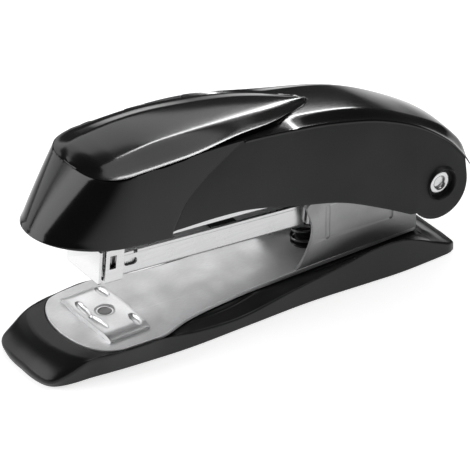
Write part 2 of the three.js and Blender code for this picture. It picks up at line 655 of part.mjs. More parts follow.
// The blade is curved about the rivet, so that it stays in its slot all the way down.
function driverBlade() {
  const tilt = THREE.MathUtils.radToDeg(MAGAZINE_TILT);
  const [low, high] = [180 - tilt - 0.8, 180 - tilt - 7.6];
  const outline = [
    ...arc(HINGE_X, HINGE_Z, BLADE_R, low, high, 8),
    ...arc(HINGE_X, HINGE_Z, BLADE_R - BLADE_T, high, low, 8),
  ];
  return sidePlate(outline, -BLADE_Y, BLADE_Y);
}

function driverBracket() {
  const foot = block(-48.9, -38, -BLADE_Y, BLADE_Y, 43.6, 44.8);
  return joined(foot, block(-48.9, -47.9, -BLADE_Y, BLADE_Y, 41.9, 44.8));
}

function driverRivet(s) {
  return turned(-42, s * 3.6, [[0, 45.1], [1.9, 45.1], [1.5, 46], [0, 46.2]]);
}

// ---------------------------------------------------------------- assembly
const stapler = new THREE.Group();
stapler.position.x = -CENTRE_X;

const base = new THREE.Group();
base.add(
  mesh("base_shell", baseShell(), blackPlastic),
  mesh("base_pad_front", basePad(-66, -53), rubber),
  mesh("base_pad_rear", basePad(38, 56), rubber),
  mesh("base_plate", basePlate(), satinSteel),
  mesh("hinge_rivet", hingeRivet(), nickel),
  mesh("hinge_washer_left", hingeWasher(1), satinSteel),
  mesh("hinge_washer_right", hingeWasher(-1), satinSteel),
  mesh("anvil_plate", anvilPlate(), satinSteel),
  mesh("anvil_pivot", anvilPivot(), satinSteel),
  mesh("anvil_button", anvilButton(), blackPlastic),
  mesh("anvil_spring", coilSpring(ANVIL_X, 0, 3.2, 0.25, 2.7, 5.9, 2), springSteel),
  mesh("spring_seat", springSeat(), blackPlastic),
  mesh("return_spring", coilSpring(RETURN_SPRING_X, 0, 3.7, 0.45, 8.3, 17.4, 2), springSteel),
);

const magazine = new THREE.Group();
magazine.position.set(HINGE_X, 0, HINGE_Z);
magazine.rotation.y = MAGAZINE_TILT;
magazine.add(
  mesh("magazine_channel", magazineChannel(), nickel),
  mesh("nose_sleeve", noseSleeve(), nickel),
  mesh("nose_plate", nosePlate(), nickel),
  mesh("staple_rail", stapleRail(), satinSteel),
  mesh("staple_strip", stapleStrip(), nickel),
  mesh("pusher", pusher(), blackPlastic),
  mesh("pusher_rod", pusherRod(), satinSteel),
  mesh("pusher_spring", pusherSpring(), springSteel),
  mesh("magazine_arm", magazineArm(), satinSteel),
  mesh("handle_spring", handleSpring(), springSteel),
);

const handle = new THREE.Group();
handle.add(
  mesh("nose_cap", noseCap(), blackPlastic),
  mesh("top_pad", topPad(), blackPlastic),
  mesh("spine_cover", spineCover(), blackPlastic),
  mesh("cheek_left", cheek(1), greyPlastic),
  mesh("cheek_right", cheek(-1), greyPlastic),
  mesh("lever_frame", leverFrame(), nickel),
  mesh("driver_blade", driverBlade(), satinSteel),
  mesh("driver_bracket", driverBracket(), satinSteel),
  mesh("driver_rivet_left", driverRivet(1), nickel),
  mesh("driver_rivet_right", driverRivet(-1), nickel),
);

stapler.add(base, magazine, handle);
export default stapler;
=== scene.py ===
"""Looks of a desktop stapler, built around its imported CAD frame.

Shapes are drawn in millimetres with X = 0 near the middle, Y = 0 in the plane of symmetry and Z up.
row() puts a drawn point in the row frame, and mag() puts a point drawn on the level magazine there.
"""

import json
import math

import bmesh
import bpy
from mathutils import Matrix, Vector

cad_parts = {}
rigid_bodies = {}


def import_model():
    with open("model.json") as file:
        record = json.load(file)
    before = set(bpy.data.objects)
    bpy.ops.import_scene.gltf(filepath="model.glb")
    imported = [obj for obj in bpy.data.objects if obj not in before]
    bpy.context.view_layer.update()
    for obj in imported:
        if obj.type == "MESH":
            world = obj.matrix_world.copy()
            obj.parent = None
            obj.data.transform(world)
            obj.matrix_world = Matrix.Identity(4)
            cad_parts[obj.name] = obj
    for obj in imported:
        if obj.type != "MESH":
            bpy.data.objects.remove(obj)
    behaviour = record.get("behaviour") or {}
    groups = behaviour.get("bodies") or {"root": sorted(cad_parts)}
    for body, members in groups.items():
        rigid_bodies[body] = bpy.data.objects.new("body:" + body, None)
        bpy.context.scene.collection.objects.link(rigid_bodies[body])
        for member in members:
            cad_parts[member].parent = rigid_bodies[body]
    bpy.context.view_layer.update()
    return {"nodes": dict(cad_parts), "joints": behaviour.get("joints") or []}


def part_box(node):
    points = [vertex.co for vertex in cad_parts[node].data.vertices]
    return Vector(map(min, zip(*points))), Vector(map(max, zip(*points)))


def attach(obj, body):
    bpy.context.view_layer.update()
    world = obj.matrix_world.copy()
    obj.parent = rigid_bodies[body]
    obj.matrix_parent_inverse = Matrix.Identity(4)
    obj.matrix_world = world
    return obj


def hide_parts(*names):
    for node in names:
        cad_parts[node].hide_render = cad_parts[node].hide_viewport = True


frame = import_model()

MM = 0.001
scene = bpy.context.scene

# ---- where the CAD puts things
BASE_FRONT_X = -69.9
SHIFT_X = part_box("base_shell")[0].x / MM - BASE_FRONT_X
HINGE = Vector(next(j for j in frame["joints"] if j["name"] == "handle_hinge")["pos_m"]) / MM
HINGE.x -= SHIFT_X
HINGE_X, HINGE_Z = HINGE.x, HINGE.z
TILT = math.radians(5.1)
TILTED = Matrix.Rotation(TILT, 3, "Y")
GAP = 0.3

PLATE_TOP_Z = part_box("anvil_plate")[0].z / MM - GAP
PLATE_T = 1.3
ANVIL_X = (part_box("anvil_plate")[0].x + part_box("anvil_plate")[1].x) / 2 / MM - SHIFT_X
ANVIL_TOP_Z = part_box("anvil_plate")[1].z / MM
FOOT_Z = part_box("base_shell")[0].z / MM
LEDGE_Z = PLATE_TOP_Z - PLATE_T - GAP
BRACKET_Y = 11.0


def row(p):
    return Vector(((p[0] + SHIFT_X) * MM, p[1] * MM, p[2] * MM))


def mag(p):
    return row(HINGE + TILTED @ Vector(p))


# ---- curves and outlines
def along(pairs):
    """A smooth value along x through a few given (x, value) pairs."""
    last = len(pairs) - 1
    slopes = []
    for i in range(len(pairs)):
        a, b = pairs[max(i - 1, 0)], pairs[min(i + 1, last)]
        slopes.append((b[1] - a[1]) / (b[0] - a[0]))

    def value(x):
        i = 0
        while i < last - 1 and x > pairs[i + 1][0]:
            i += 1
        (x0, v0), (x1, v1) = pairs[i], pairs[i + 1]
        span = x1 - x0
        t = min(max((x - x0) / span, 0), 1)
        s = t * t * (3 - 2 * t)
        return v0 + (v1 - v0) * s + t * (1 - t) * span * ((1 - t) * slopes[i] - t * slopes[i + 1])

    return value


def lerp(a, b, t):
    return a + (b - a) * t


def smoothstep(x, low, high):
    t = min(max((x - low) / (high - low), 0), 1)
    return t * t * (3 - 2 * t)


def spaced(values, per_gap):
    """The given values with per_gap - 1 more between each two."""
    out = []
    for a, b in zip(values, values[1:]):
        out += [lerp(a, b, i / per_gap) for i in range(per_gap)]
    return out + [values[-1]]


def rounded(corners, closed=True, steps=5):
    """Points through corners (..., radius), each corner with a radius turned into a small arc."""
    out, n = [], len(corners)
    for i, corner in enumerate(corners):
        p, r = Vector(corner[:-1]), corner[-1]
        if r <= 0 or (not closed and i in (0, n - 1)):
            out.append(p)
            continue
        a, b = Vector(corners[i - 1][:-1]), Vector(corners[(i + 1) % n][:-1])
        to_a, to_b = (a - p), (b - p)
        la, lb = max(to_a.length, 1e-6), max(to_b.length, 1e-6)
        start, end = p + to_a * min(r / la, 0.48), p + to_b * min(r / lb, 0.48)
        for k in range(steps + 1):
            t = k / steps
            out.append(start * (1 - t) ** 2 + p * 2 * t * (1 - t) + end * t * t)
    return out


def smooth_through(stations, per_gap):
    """The given rows of values with per_gap - 1 smooth ones more between each two."""
    channels = [along(list(enumerate(column))) for column in zip(*stations)]
    return [tuple(channel(t) for channel in channels) for t in spaced(list(range(len(stations))), per_gap)]


def arc(cx, cy, r, start, end, steps):
    angles = [math.radians(lerp(start, end, i / steps)) for i in range(steps + 1)]
    return [(cx + r * math.cos(a), cy + r * math.sin(a)) for a in angles]


def circle(cx, cy, r, steps=40):
    return arc(cx, cy, r, 0, 360 - 360 / steps, steps - 1)


# ---- mesh building
def added(name, data):
    obj = bpy.data.objects.new(name, data)
    scene.collection.objects.link(obj)
    return obj


def build(name, verts, faces, place=row):
    mesh = bpy.data.meshes.new(name)
    mesh.from_pydata([place(v) for v in verts], [], faces)
    obj = added(name, mesh)
    tidy(obj)
    return obj


def tidy(obj, merge=2e-6):
    """Welds doubled points and turns the faces outwards."""
    bm = bmesh.new()
    bm.from_mesh(obj.data)
    bmesh.ops.remove_doubles(bm, verts=bm.verts, dist=merge)
    bmesh.ops.dissolve_degenerate(bm, edges=bm.edges, dist=merge)
    bmesh.ops.recalc_face_normals(bm, faces=bm.faces)
    bm.to_mesh(obj.data)
    bm.free()


def strip(rows, ring=False):
    """Points and quads of a grid of equal rows; ring joins each row's end to its start."""
    width = len(rows[0])
    verts = [p for line in rows for p in line]
    faces = []
    for r in range(len(rows) - 1):
        for i in range(width if ring else width - 1):
            j = (i + 1) % width
            faces.append((r * width + i, r * width + j, (r + 1) * width + j, (r + 1) * width + i))
    return verts, faces


def tube(rings):
    """Points and faces of a closed body through rings."""
    verts, faces = strip(rings, ring=True)
    width = len(rings[0])
    faces.append(tuple(reversed(range(width))))
    faces.append(tuple(len(verts) - width + i for i in range(width)))
    return verts, faces


def evaluated(obj):
    graph = bpy.context.evaluated_depsgraph_get()
    return bpy.data.meshes.new_from_object(obj.evaluated_get(graph))


def settle(obj):
    """Applies the object's modifiers."""
    mesh = evaluated(obj)
    obj.modifiers.clear()
    obj.data = mesh
    return obj


def shelled(obj, thickness):
    """Gives an open surface a thickness, on the side that faces the inside."""
    solid = obj.modifiers.new("wall", "SOLIDIFY")
    solid.thickness = thickness * MM
    solid.offset = -1
    solid.use_even_offset = True
    solid.thickness_clamp = 1.5
    settle(obj)
    tidy(obj)
    return obj


def face_away(obj, inside):
    """Turns an open surface's faces away from a drawn point."""
    middle = row(inside)
    lean = sum((f.center - middle).dot(f.normal) * f.area for f in obj.data.polygons)
    if lean < 0:
        obj.data.flip_normals()


def softened(obj, width, segments=3, angle=35):
    bevel = obj.modifiers.new("edges", "BEVEL")
    bevel.width = width * MM
    bevel.segments = segments
    bevel.limit_method = "ANGLE"
    bevel.angle_limit = math.radians(angle)
    bevel.use_clamp_overlap = True
    bevel.miter_outer = "MITER_ARC"
    return settle(obj)


def combined(obj, other, operation):
    """Joins other to obj, or cuts it away, and removes other."""
    boolean = obj.modifiers.new("cut", "BOOLEAN")
    boolean.operation = operation
    boolean.solver = "EXACT"
    boolean.object = other
    settle(obj)
    bpy.data.objects.remove(other)
    return obj


def shaded(obj, sharp=40):
    for polygon in obj.data.polygons:
        polygon.use_smooth = True
    obj.data.set_sharp_from_angle(angle=math.radians(sharp))
    weighted = obj.modifiers.new("shading", "WEIGHTED_NORMAL")
    weighted.keep_sharp = True
    weighted.weight = 60
    return settle(obj)


def outline_plate(name, outline, low, high, holes=(), bevel=0.2, plane="XY", place=row):
    """A plate with rounded edges from an outline, between two heights (plane XY) or two Y (plane XZ)."""
    data = bpy.data.curves.new(name, "CURVE")
    data.dimensions = "2D"
    data.fill_mode = "BOTH"
    data.extrude = (high - low) / 2 - bevel
    data.bevel_depth = bevel
    data.bevel_resolution = 2
    data.offset = -bevel
    for loop in [outline, *holes]:
        spline = data.splines.new("POLY")
        spline.points.add(len(loop) - 1)
        for point, (a, b) in zip(spline.points, loop):
            point.co = (a, b, 0, 1)
        spline.use_cyclic_u = True
    source = added(name, data)
    mesh = evaluated(source)
    bpy.data.objects.remove(source)
    middle = (low + high) / 2
    for v in mesh.vertices:
        x, y, z = v.co
        v.co = place((x, y, z + middle) if plane == "XY" else (x, middle - z, y))
    obj = added(name, mesh)
    tidy(obj, 5e-6)
    return obj


def twin_plates(name, outline, inner, outer, bore, bevel, place=row):
    """Two upright plates, one on each side of the middle, as one piece."""
    left = outline_plate(name, outline[::-1], inner, outer, [bore], bevel, "XZ", place)
    right = outline_plate(name, outline[::-1], -outer, -inner, [bore], bevel, "XZ", place)
    return combined(left, right, "UNION")


def turned(name, profile, axis_point, axis="Z", steps=48, place=row):
    """A turned body from a profile of (radius, height) about an axis through a drawn point."""
    cx, cy, cz = axis_point
    rings = []
    for k in range(steps):
        a = 2 * math.pi * k / steps
        ring = []
        for r, h in profile:
            u, v = r * math.cos(a), r * math.sin(a)
            ring.append((cx + u, cy + v, cz + h) if axis == "Z" else (cx + u, cy + h, cz + v))
        rings.append(ring)
    verts, faces = strip(rings + [rings[0]])
    return build(name, verts, faces, place)


def wire(name, path, radius, sides=10, place=row):
    """A round wire along a smooth path of drawn points."""
    rings = []
    for i, p in enumerate(path):
        p = Vector(p)
        ahead = Vector(path[min(i + 1, len(path) - 1)]) - Vector(path[max(i - 1, 0)])
        ahead.normalize()
        guide = Vector((0.03, 0.02, 1)) if abs(ahead.z) < 0.9 else Vector((1, 0, 0.1))
        side = ahead.cross(guide).normalized()
        up = side.cross(ahead)
        ring = circle(0, 0, radius, sides)
        rings.append([p + side * a + up * b for a, b in ring])
    ends = [[Vector(path[e]).lerp(q, 0.55) for q in rings[e]] for e in (0, -1)]
    return build(name, *tube([ends[0], *rings, ends[1]]), place)


def helix(cx, cy, radius, z0, z1, turns, flat=0.75, steps=26):
    """Points up a compression spring with closed ends."""
    total = turns + 2 * flat
    rise = 0.9
    out = []
    for i in range(round(total * steps) + 1):
        turn = i / steps
        if turn < flat:
            z = z0 + rise * turn
        elif turn > flat + turns:
            z = z1 - rise * (total - turn)
        else:
            z = lerp(z0 + rise * flat, z1 - rise * flat, (turn - flat) / turns)
        a = turn * 2 * math.pi
        out.append((cx + radius * math.cos(a), cy + radius * math.sin(a), z))
    return out


# ---- materials
class Nodes:
    """A material's node tree, with short ways to add what the finishes share."""

    def __init__(self, name):
        self.material = bpy.data.materials.new(name)
        self.material.use_nodes = True
        self.tree = self.material.node_tree
        self.shader = self.tree.nodes["Principled BSDF"]
        self.coords = self.add("ShaderNodeTexCoord").outputs["Object"]

    def add(self, kind, **values):
        node = self.tree.nodes.new(kind)
        for key, value in values.items():
            if hasattr(node, key):
                setattr(node, key, value)
            else:
                node.inputs[key.replace("_", " ").title()].default_value = value
        return node

    def link(self, output, target):
        self.tree.links.new(output, target)

    def noise(self, scale, detail=3.0, stretch=(1, 1, 1)):
        mapping = self.add("ShaderNodeMapping")
        mapping.inputs["Scale"].default_value = stretch
        self.link(self.coords, mapping.inputs["Vector"])
        node = self.add("ShaderNodeTexNoise", scale=scale, detail=detail)
        self.link(mapping.outputs["Vector"], node.inputs["Vector"])
        return node.outputs["Fac"]

    def ranged(self, value, low, high, start=0.3, end=0.7):
        node = self.add("ShaderNodeMapRange")
        self.link(value, node.inputs["Value"])
        for key, number in (("From Min", start), ("From Max", end), ("To Min", low), ("To Max", high)):
            node.inputs[key].default_value = number
        return node.outputs["Result"]

    def mixed(self, factor, a, b):
        node = self.add("ShaderNodeMix", data_type="RGBA")
        self.link(factor, node.inputs[0])
        for socket, value in ((node.inputs[6], a), (node.inputs[7], b)):
            if isinstance(value, tuple):
                socket.default_value = (*value, 1)
            else:
                self.link(value, socket)
        return node.outputs[2]

    def bumps(self, heights):
        """Chains bumps given as (height, distance in metres, strength)."""
        normal = None
        for height, distance, strength in heights:
            node = self.add("ShaderNodeBump", distance=distance, strength=strength)
            self.link(height, node.inputs["Height"])
            if normal:
                self.link(normal, node.inputs["Normal"])
            normal = node.outputs["Normal"]
        self.link(normal, self.shader.inputs["Normal"])

    def worn(self, start=0.53, end=0.62):
        """A mask of the outward edges."""
        pointiness = self.add("ShaderNodeNewGeometry").outputs["Pointiness"]
        return self.ranged(pointiness, 0.0, 1.0, start, end)


def grey(value, tint=0.0):
    return (value, value, value * (1 + tint))


def plastic(name, tone, rough, grain_mm, grain_depth, specular=0.5):
    """Moulded plastic: faint mottling, spark-eroded grain, slightly polished edges."""
    n = Nodes(name)
    mottle = n.noise(90, 4)
    body = n.mixed(n.ranged(mottle, 0, 1), grey(tone * 0.85, 0.04), grey(tone * 1.15, 0.02))
    n.link(n.mixed(n.worn(), body, grey(tone * 2.2, 0.03)), n.shader.inputs["Base Color"])
    smudges = n.noise(35, 5, (1, 1.6, 1))
    n.link(n.ranged(smudges, rough * 0.9, rough * 1.12), n.shader.inputs["Roughness"])
    grain = n.noise(1000 / grain_mm, 2)
    n.bumps([(grain, grain_depth * MM, 0.5), (mottle, 0.01 * MM, 0.3)])
    n.shader.inputs["Specular IOR Level"].default_value = specular
    return n.material


def metal(name, tone, rough, stretch, streak_depth, contrast=0.12, metallic=1.0):
    """Plated steel: drawn streaks, cloudy tone and roughness, and brighter rubbed edges."""
    n = Nodes(name)
    streaks = n.noise(2200, 3, stretch)
    clouds = n.noise(120, 4)
    low, high = grey(tone * (1 - contrast), 0.01), grey(min(tone * (1 + contrast * 0.6), 1), 0.01)
    body = n.mixed(n.ranged(streaks, 0, 1), low, high)
    body = n.mixed(n.ranged(clouds, 0, 0.5), body, grey(tone, 0.0))
    n.link(n.mixed(n.worn(0.54, 0.66), body, grey(min(tone * 1.25, 0.95))), n.shader.inputs["Base Color"])
    n.link(n.ranged(clouds, rough * 0.82, rough * 1.2), n.shader.inputs["Roughness"])
    n.shader.inputs["Metallic"].default_value = metallic
    n.bumps([(streaks, streak_depth * MM, 0.5)])
    return n.material


def rubber_finish(name):
    n = Nodes(name)
    grain = n.noise(2500, 3)
    n.link(n.mixed(n.ranged(n.noise(200), 0, 1), grey(0.012), grey(0.02)), n.shader.inputs["Base Color"])
    n.link(n.ranged(grain, 0.75, 0.9), n.shader.inputs["Roughness"])
    n.bumps([(grain, 0.03 * MM, 0.6)])
    return n.material


ALONG_X = (0.03, 1, 1)
BLACK = plastic("black_plastic_satin", 0.004, 0.14, 0.22, 0.0018, 0.34)
GREY = plastic("grey_plastic_fine_grain", 0.009, 0.5, 0.16, 0.012, 0.3)
BASE_BLACK = plastic("base_plastic_satin", 0.009, 0.3, 0.2, 0.005, 0.27)
RUBBER = rubber_finish("rubber_feet")
SATIN = metal("satin_steel", 0.8, 0.5, (0.35, 1, 1), 0.0012, 0.05, 0.75)
ANVIL = metal("anvil_steel", 0.8, 0.36, (0.6, 1, 1), 0.001, 0.06)
NICKEL = metal("bright_nickel", 0.62, 0.25, ALONG_X, 0.001, 0.05)
# A darker copy of the satin steel for the base plate's bent-up cheeks: its lower tone is painted shade on
# the upright faces of the same sheet.
SHADED_CHEEK_STEEL = metal("bracket_steel_painted_shade", 0.42, 0.55, (1, 1, 0.5), 0.0015, 0.06, 0.6)
STAPLE = metal("staple_wire", 0.62, 0.28, (1, 1, 1), 0.003)
SPRING = metal("spring_steel", 0.1, 0.26, (1, 1, 1), 0.002)
DARK_STEEL = metal("pivot_steel", 0.22, 0.4, (1, 1, 1), 0.004)


def done(obj, body, material, nodes=(), sharp=40):
    """Shades a piece, gives it its material, ties it to its body, and hides the CAD nodes it stands for."""
    shaded(obj, sharp)
    obj.data.materials.clear()
    obj.data.materials.append(material)
    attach(obj, body)
    if nodes:
        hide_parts(*nodes)
    return obj


# ---- base shell
PLATE_HALF_PLAN = [
    (-57.6, 0), (-57.3, 3.6), (-56.6, 7.1), (-55.4, 10.3), (-53.9, 12.8), (-51.8, 14.9), (-49.2, 15.9),
    (-46.5, 16.3), (-40.5, 16.6), (-35.2, 16.3), (-27.8, 13.8), (-21.4, 12.5), (-13.5, 11.7), (-5.9, 11.2),
    (7.5, 11), (50.7, 11),
]
shell_bottom_y = along([
    (-52, 14.4), (-45.8, 15.2), (-28, 16.7), (-8.8, 16.7), (10.8, 16.7), (29.8, 18.1), (39.4, 18.8),
    (49.9, 18.7), (57.1, 18.3), (58.9, 17.4),
])
shell_crest_y = along([
    (-52, 16.5), (-46.3, 17.2), (-40.5, 17.6), (-35.7, 17.4), (-20, 17.2), (2.9, 17.2), (23, 17.9),
    (36.7, 18.5), (57.1, 18.2), (58.9, 17.3),
])
shell_crest_z = along([
    (-52, 6.7), (-40.5, 6.9), (-35.7, 6.6), (-26, 4.9), (-13.5, 3.9), (-5.8, 4.5), (2.9, 6.0),
    (12.1, 7.4), (23.2, 9.2), (29, 10.4), (36.7, 10.8), (41.5, 10.1), (46.4, 8.2), (51.2, 5.7), (57, 3.1),
    (58.9, 2.6),
])
plan_y = along([p for p in PLATE_HALF_PLAN if p[0] > -54])
RING_Z, TAIL_Z, SOLE_Z = 6.95, 2.9, 0.06
WELL_R, WELL_TOP = 5.0, 8.5
SOLE_RIM, HOLLOW_TOP = 2.6, 2.8
# Round the nose: bottom x, y; crest x, y, z; crease x, y, z; seat x, y.
SHELL_NOSE = [
    (-69.4, 0, -69.9, 0, 2.0, -62.8, 0, 6.85, -57.9, 0),
    (-69.45, 3.8, -69.9, 4.3, 2.0, -62.6, 3.4, 6.85, -57.6, 3.7),
    (-69.1, 7.2, -69.6, 8.1, 2.0, -61.9, 6.6, 6.85, -56.9, 7.1),
    (-68.3, 9.9, -69.0, 11.1, 2.1, -61.0, 9.4, 6.85, -55.8, 10.2),
    (-66.8, 11.7, -67.6, 13.0, 2.5, -60.0, 11.6, 6.85, -55.0, 11.5),
    (-64.2, 12.8, -64.6, 14.0, 3.5, -58.9, 13.3, 6.8, -54.4, 12.5),
    (-60.8, 13.4, -61.0, 14.8, 5.0, -57.6, 14.6, 6.75, -53.8, 13.3),
    (-57.0, 13.7, -57.2, 15.3, 6.25, -55.4, 15.5, 6.85, -53.0, 14.2),
]


def shell_station(x):
    """The same values at a length behind the nose."""
    seat_z, _ = shell_floor(x)
    seat_y = (plan_y(x) if x < 7.5 else BRACKET_Y) + GAP
    foot_y = max(lerp(seat_y + 0.35, 12.4, smoothstep(x, 8, 20)), seat_y + 0.35)
    edge = min(foot_y, shell_crest_y(x) - 0.4)
    ledge = smoothstep(x, -38, -30) * (1 - smoothstep(x, 4, 14))
    edge_z = lerp(seat_z, min(shell_crest_z(x) + 0.65, seat_z), ledge)
    return (x, shell_bottom_y(x), x, shell_crest_y(x), shell_crest_z(x), x, edge, edge_z, x, seat_y)


def shell_floor(x):
    """Heights of the shell's rim inside its crease, and of the floor that the plate lies on."""
    waist = smoothstep(x, -40, -34)
    tail = smoothstep(x, 51.5, 58.5)
    level = lerp(lerp(RING_Z, LEDGE_Z, waist), TAIL_Z, tail)
    return level, LEDGE_Z if tail == 0 else min(level, LEDGE_Z)


def shell_section(bx, by, cx, cy, cz, ex, ey, ez, sx, sy):
    """Half a section through one station: sole, side, crest, crease, seat of the plate, and floor."""
    seat_z, floor = shell_floor(sx)
    if sx <= -50:
        seat_z = RING_Z
    floor = min(floor, seat_z - 0.02)
    front = 1 - smoothstep(sx, -57, -47)
    middle = Vector(((cx + ex) / 2, (cy + ey) / 2, (cz + ez) / 2))
    plan = Vector((cx - ex, cy - ey, 0)).normalized()
    middle += (plan * 0.5 + Vector((0, 0, 0.85))) * front
    return rounded([
        (bx, 0, FOOT_Z, 0), (bx, max(by - 0.9, 0), FOOT_Z, 0), (bx, max(by - 0.5, 0), SOLE_Z, 0),
        (bx, by, SOLE_Z, 0.25), (cx, cy, cz, lerp(0.75, 1.2, front)), (*middle, 2.5),
        (ex, ey, ez, lerp(0.55, 0.8, front)), (sx, sy, seat_z, 0.16), (sx, sy, floor, 0), (sx, 0, floor, 0),
    ], closed=False)


def base_shell():
    xs = (-52, -49, -46.3, -43, -40.5, -38, -35.7, -33, -30, -26, -22, -18, -13.5, -9, -5.8, -1, 2.9, 7.5,
          12.1, 18, 23.2, 26, 29, 33, 36.7, 41.5, 46.4, 50.5, 51.2, 54, 57, 58.9)
    stations = SHELL_NOSE + [shell_station(x) for x in xs]
    verts, faces = strip([shell_section(*station) for station in smooth_through(stations, 4)])
    offset = len(verts)
    width = len(shell_section(*stations[0]))
    faces.append(tuple(offset - width + i for i in range(width)))
    mirrored = [(p[0], -p[1], p[2]) for p in verts]
    both = faces + [tuple(offset + i for i in reversed(f)) for f in faces]
    obj = build("base_body", verts + mirrored, both)
    well = turned("well", [(0, -1), (WELL_R, -1), (WELL_R, WELL_TOP), (0, WELL_TOP)], (ANVIL_X, 0, 0))
    combined(obj, well, "DIFFERENCE")
    edge = [(x, shell_bottom_y(x) - SOLE_RIM) for x in (-51, -40, -20, 0, 20, 35)]
    hollow_plan = edge + [(x, -y) for x, y in reversed(edge)]
    hollow = outline_plate("hollow", hollow_plan, -2, HOLLOW_TOP, bevel=0.6)
    combined(obj, hollow, "DIFFERENCE")
    done(obj, "base", BASE_BLACK, ["base_shell"], sharp=50)


# ---- base plate, anvil, spring
PLATE_REAR = 50.7
BRACKET_T = 1.0
# The pressed ribs of a bracket cheek: x, and the heights of their ends.
RIBS = ((20.55, 13.7, 24.2), (41.85, 12.7, 18.0))


def base_plate():
    fine = smooth_through(PLATE_HALF_PLAN[:-2], 6)
    half = [*fine, (PLATE_REAR - 0.5, BRACKET_Y), (PLATE_REAR, BRACKET_Y - 0.5)]
    outline = half + [(x, -y) for x, y in reversed(half[1:])]
    top = outline_plate("base_plate_satin", outline, PLATE_TOP_Z - PLATE_T, PLATE_TOP_Z,
                        holes=[circle(ANVIL_X, 0, 2.0)], bevel=0.22)
    contour = [
        (8.0, 6.3, 0), (9.0, 7.0, 1.5), (11.3, 7.8, 2), (13.2, 10.5, 3), (14.8, 13.6, 2.5),
        (15.7, 16.8, 2.5), (15.6, 18.9, 2), (15.1, 21.2, 2), (13.9, 23.9, 1.5), (13.6, 25.6, 1),
        (15.1, 26.7, 1), (30, 26.9, 3),
    ]
    eye = [(x, z, 0) for x, z in arc(HINGE_X, HINGE_Z, 7.0, 100, -40, 22)]
    closing = [(PLATE_REAR, 12, 0.6), (PLATE_REAR, 6.3, 0)]
    side = rounded(contour + eye + closing, steps=4)
    for s in (1, -1):
        low, high = sorted((s * (BRACKET_Y - BRACKET_T), s * BRACKET_Y))
        bore = circle(HINGE_X, HINGE_Z, 2.75)
        cheek = outline_plate("cheek", side[::-1], low, high, [bore], 0.2, "XZ")
        for x, z0, z1 in RIBS:
            combined(cheek, rib(x, z0, z1, s), "DIFFERENCE")
        combined(top, cheek, "UNION")
    done(top, "base", SHADED_CHEEK_STEEL, ["base_plate"], sharp=32)
    # The flat plate of the same sheet takes the lighter satin steel, so the upright cheeks read darker by
    # painted shade.
    top.data.materials.append(SATIN)
    for polygon in top.data.polygons:
        if polygon.center.z < (PLATE_TOP_Z + 0.05) * MM:
            polygon.material_index = 1


def rib(x, z0, z1, s):
    """A cutter for a pressed rib: a long low dome with round ends, let into the bracket's face."""
    half, depth, rounds = 0.78, 0.45, 8
    levels = [(BRACKET_Y + 0.2, half)]
    for k in range(rounds + 1):
        a = math.pi / 2 * k / rounds
        levels.append((BRACKET_Y - depth * math.sin(a), half * max(math.cos(a), 0.02)))
    rings = []
    for reach, spread in levels:
        ends = arc(x, z1 - half, spread, 0, 180, 10) + arc(x, z0 + half, spread, 180, 360, 10)
        rings.append([(px, s * reach, pz) for px, pz in ends])
    return build("rib", *tube(rings))


def lens(x, y, cx, cy, half_x, half_y, lean=0.0):
    """How deep a point lies in a lens-shaped pocket, 0 outside and 1 in the middle."""
    dx, dy = x - cx, y - cy
    u, v = dx * math.cos(lean) + dy * math.sin(lean), dy * math.cos(lean) - dx * math.sin(lean)
    limit = 1 - (v / half_y) ** 2
    if limit <= 0:
        return 0.0
    inside = 1 - (u / half_x) ** 2 / limit
    return math.sqrt(max(inside, 0)) * limit ** 0.35


# The anvil's pockets: x and y of the middle, half-length along x and y, and lean. Each has a twin.
POCKETS = ((-4.35, 3.65, 1.1, 3.95, -0.1), (4.3, 8.0, 1.15, 2.75, 0.06))
POCKET_DEPTH = 0.9


def anvil_height(x, y, u, v):
    """Height of the anvil's top: rolled ends, a hollow round the pivot, and the pockets."""
    ends = max(abs(v) - 0.74, 0) / 0.26
    sides = max(abs(u) - 0.82, 0) / 0.18
    z = ANVIL_TOP_Z - 0.75 * ends ** 2 - 0.14 * sides ** 2
    for px, py, half_x, half_y, lean in POCKETS:
        for s in (1, -1):
            z -= POCKET_DEPTH * lens(x, y, ANVIL_X + px, s * py, half_x, half_y, s * lean)
    hollow = max(1 - math.hypot(x - ANVIL_X, y) / 3.1, 0)
    return z - 0.3 * min(hollow * 4, 1) ** 2


def anvil():
    half_x, half_y, bow = 6.55, 12.1, 0.45
    columns, lines = 66, 130
    tops, feet = [], []
    for i in range(lines + 1):
        v = 2 * i / lines - 1
        top, foot = [], []
        for j in range(columns + 1):
            u = 2 * j / columns - 1
            x, y = ANVIL_X + u * (half_x - bow * v * v), v * half_y
            top.append((x, y, anvil_height(x, y, u, v)))
            foot.append((x, y, PLATE_TOP_Z + 0.04))
        tops.append(top)
        feet.append(foot)
    verts, faces = strip(tops)
    width, count = columns + 1, len(verts)
    border = [i * width for i in range(lines)] + [lines * width + j for j in range(columns)]
    border += [i * width + columns for i in range(lines, 0, -1)] + list(range(columns, 0, -1))
    verts += [feet[i // width][i % width] for i in border]
    for k in range(len(border)):
        m = (k + 1) % len(border)
        faces.append((border[k], border[m], count + m, count + k))
    faces.append(tuple(count + k for k in range(len(border))))
    obj = build("anvil_clinch_plate", verts, faces)
    done(obj, "anvil", ANVIL, ["anvil_plate"], sharp=60)
    disc = turned("anvil_pivot_disc", [
        (0, 7.9), (1.95, 7.9), (1.98, 8.55), (1.8, 8.72), (1.5, 8.74), (1.42, 8.66), (0, 8.62),
    ], (ANVIL_X, 0, 0))
    done(disc, "anvil", DARK_STEEL, ["anvil_pivot"])


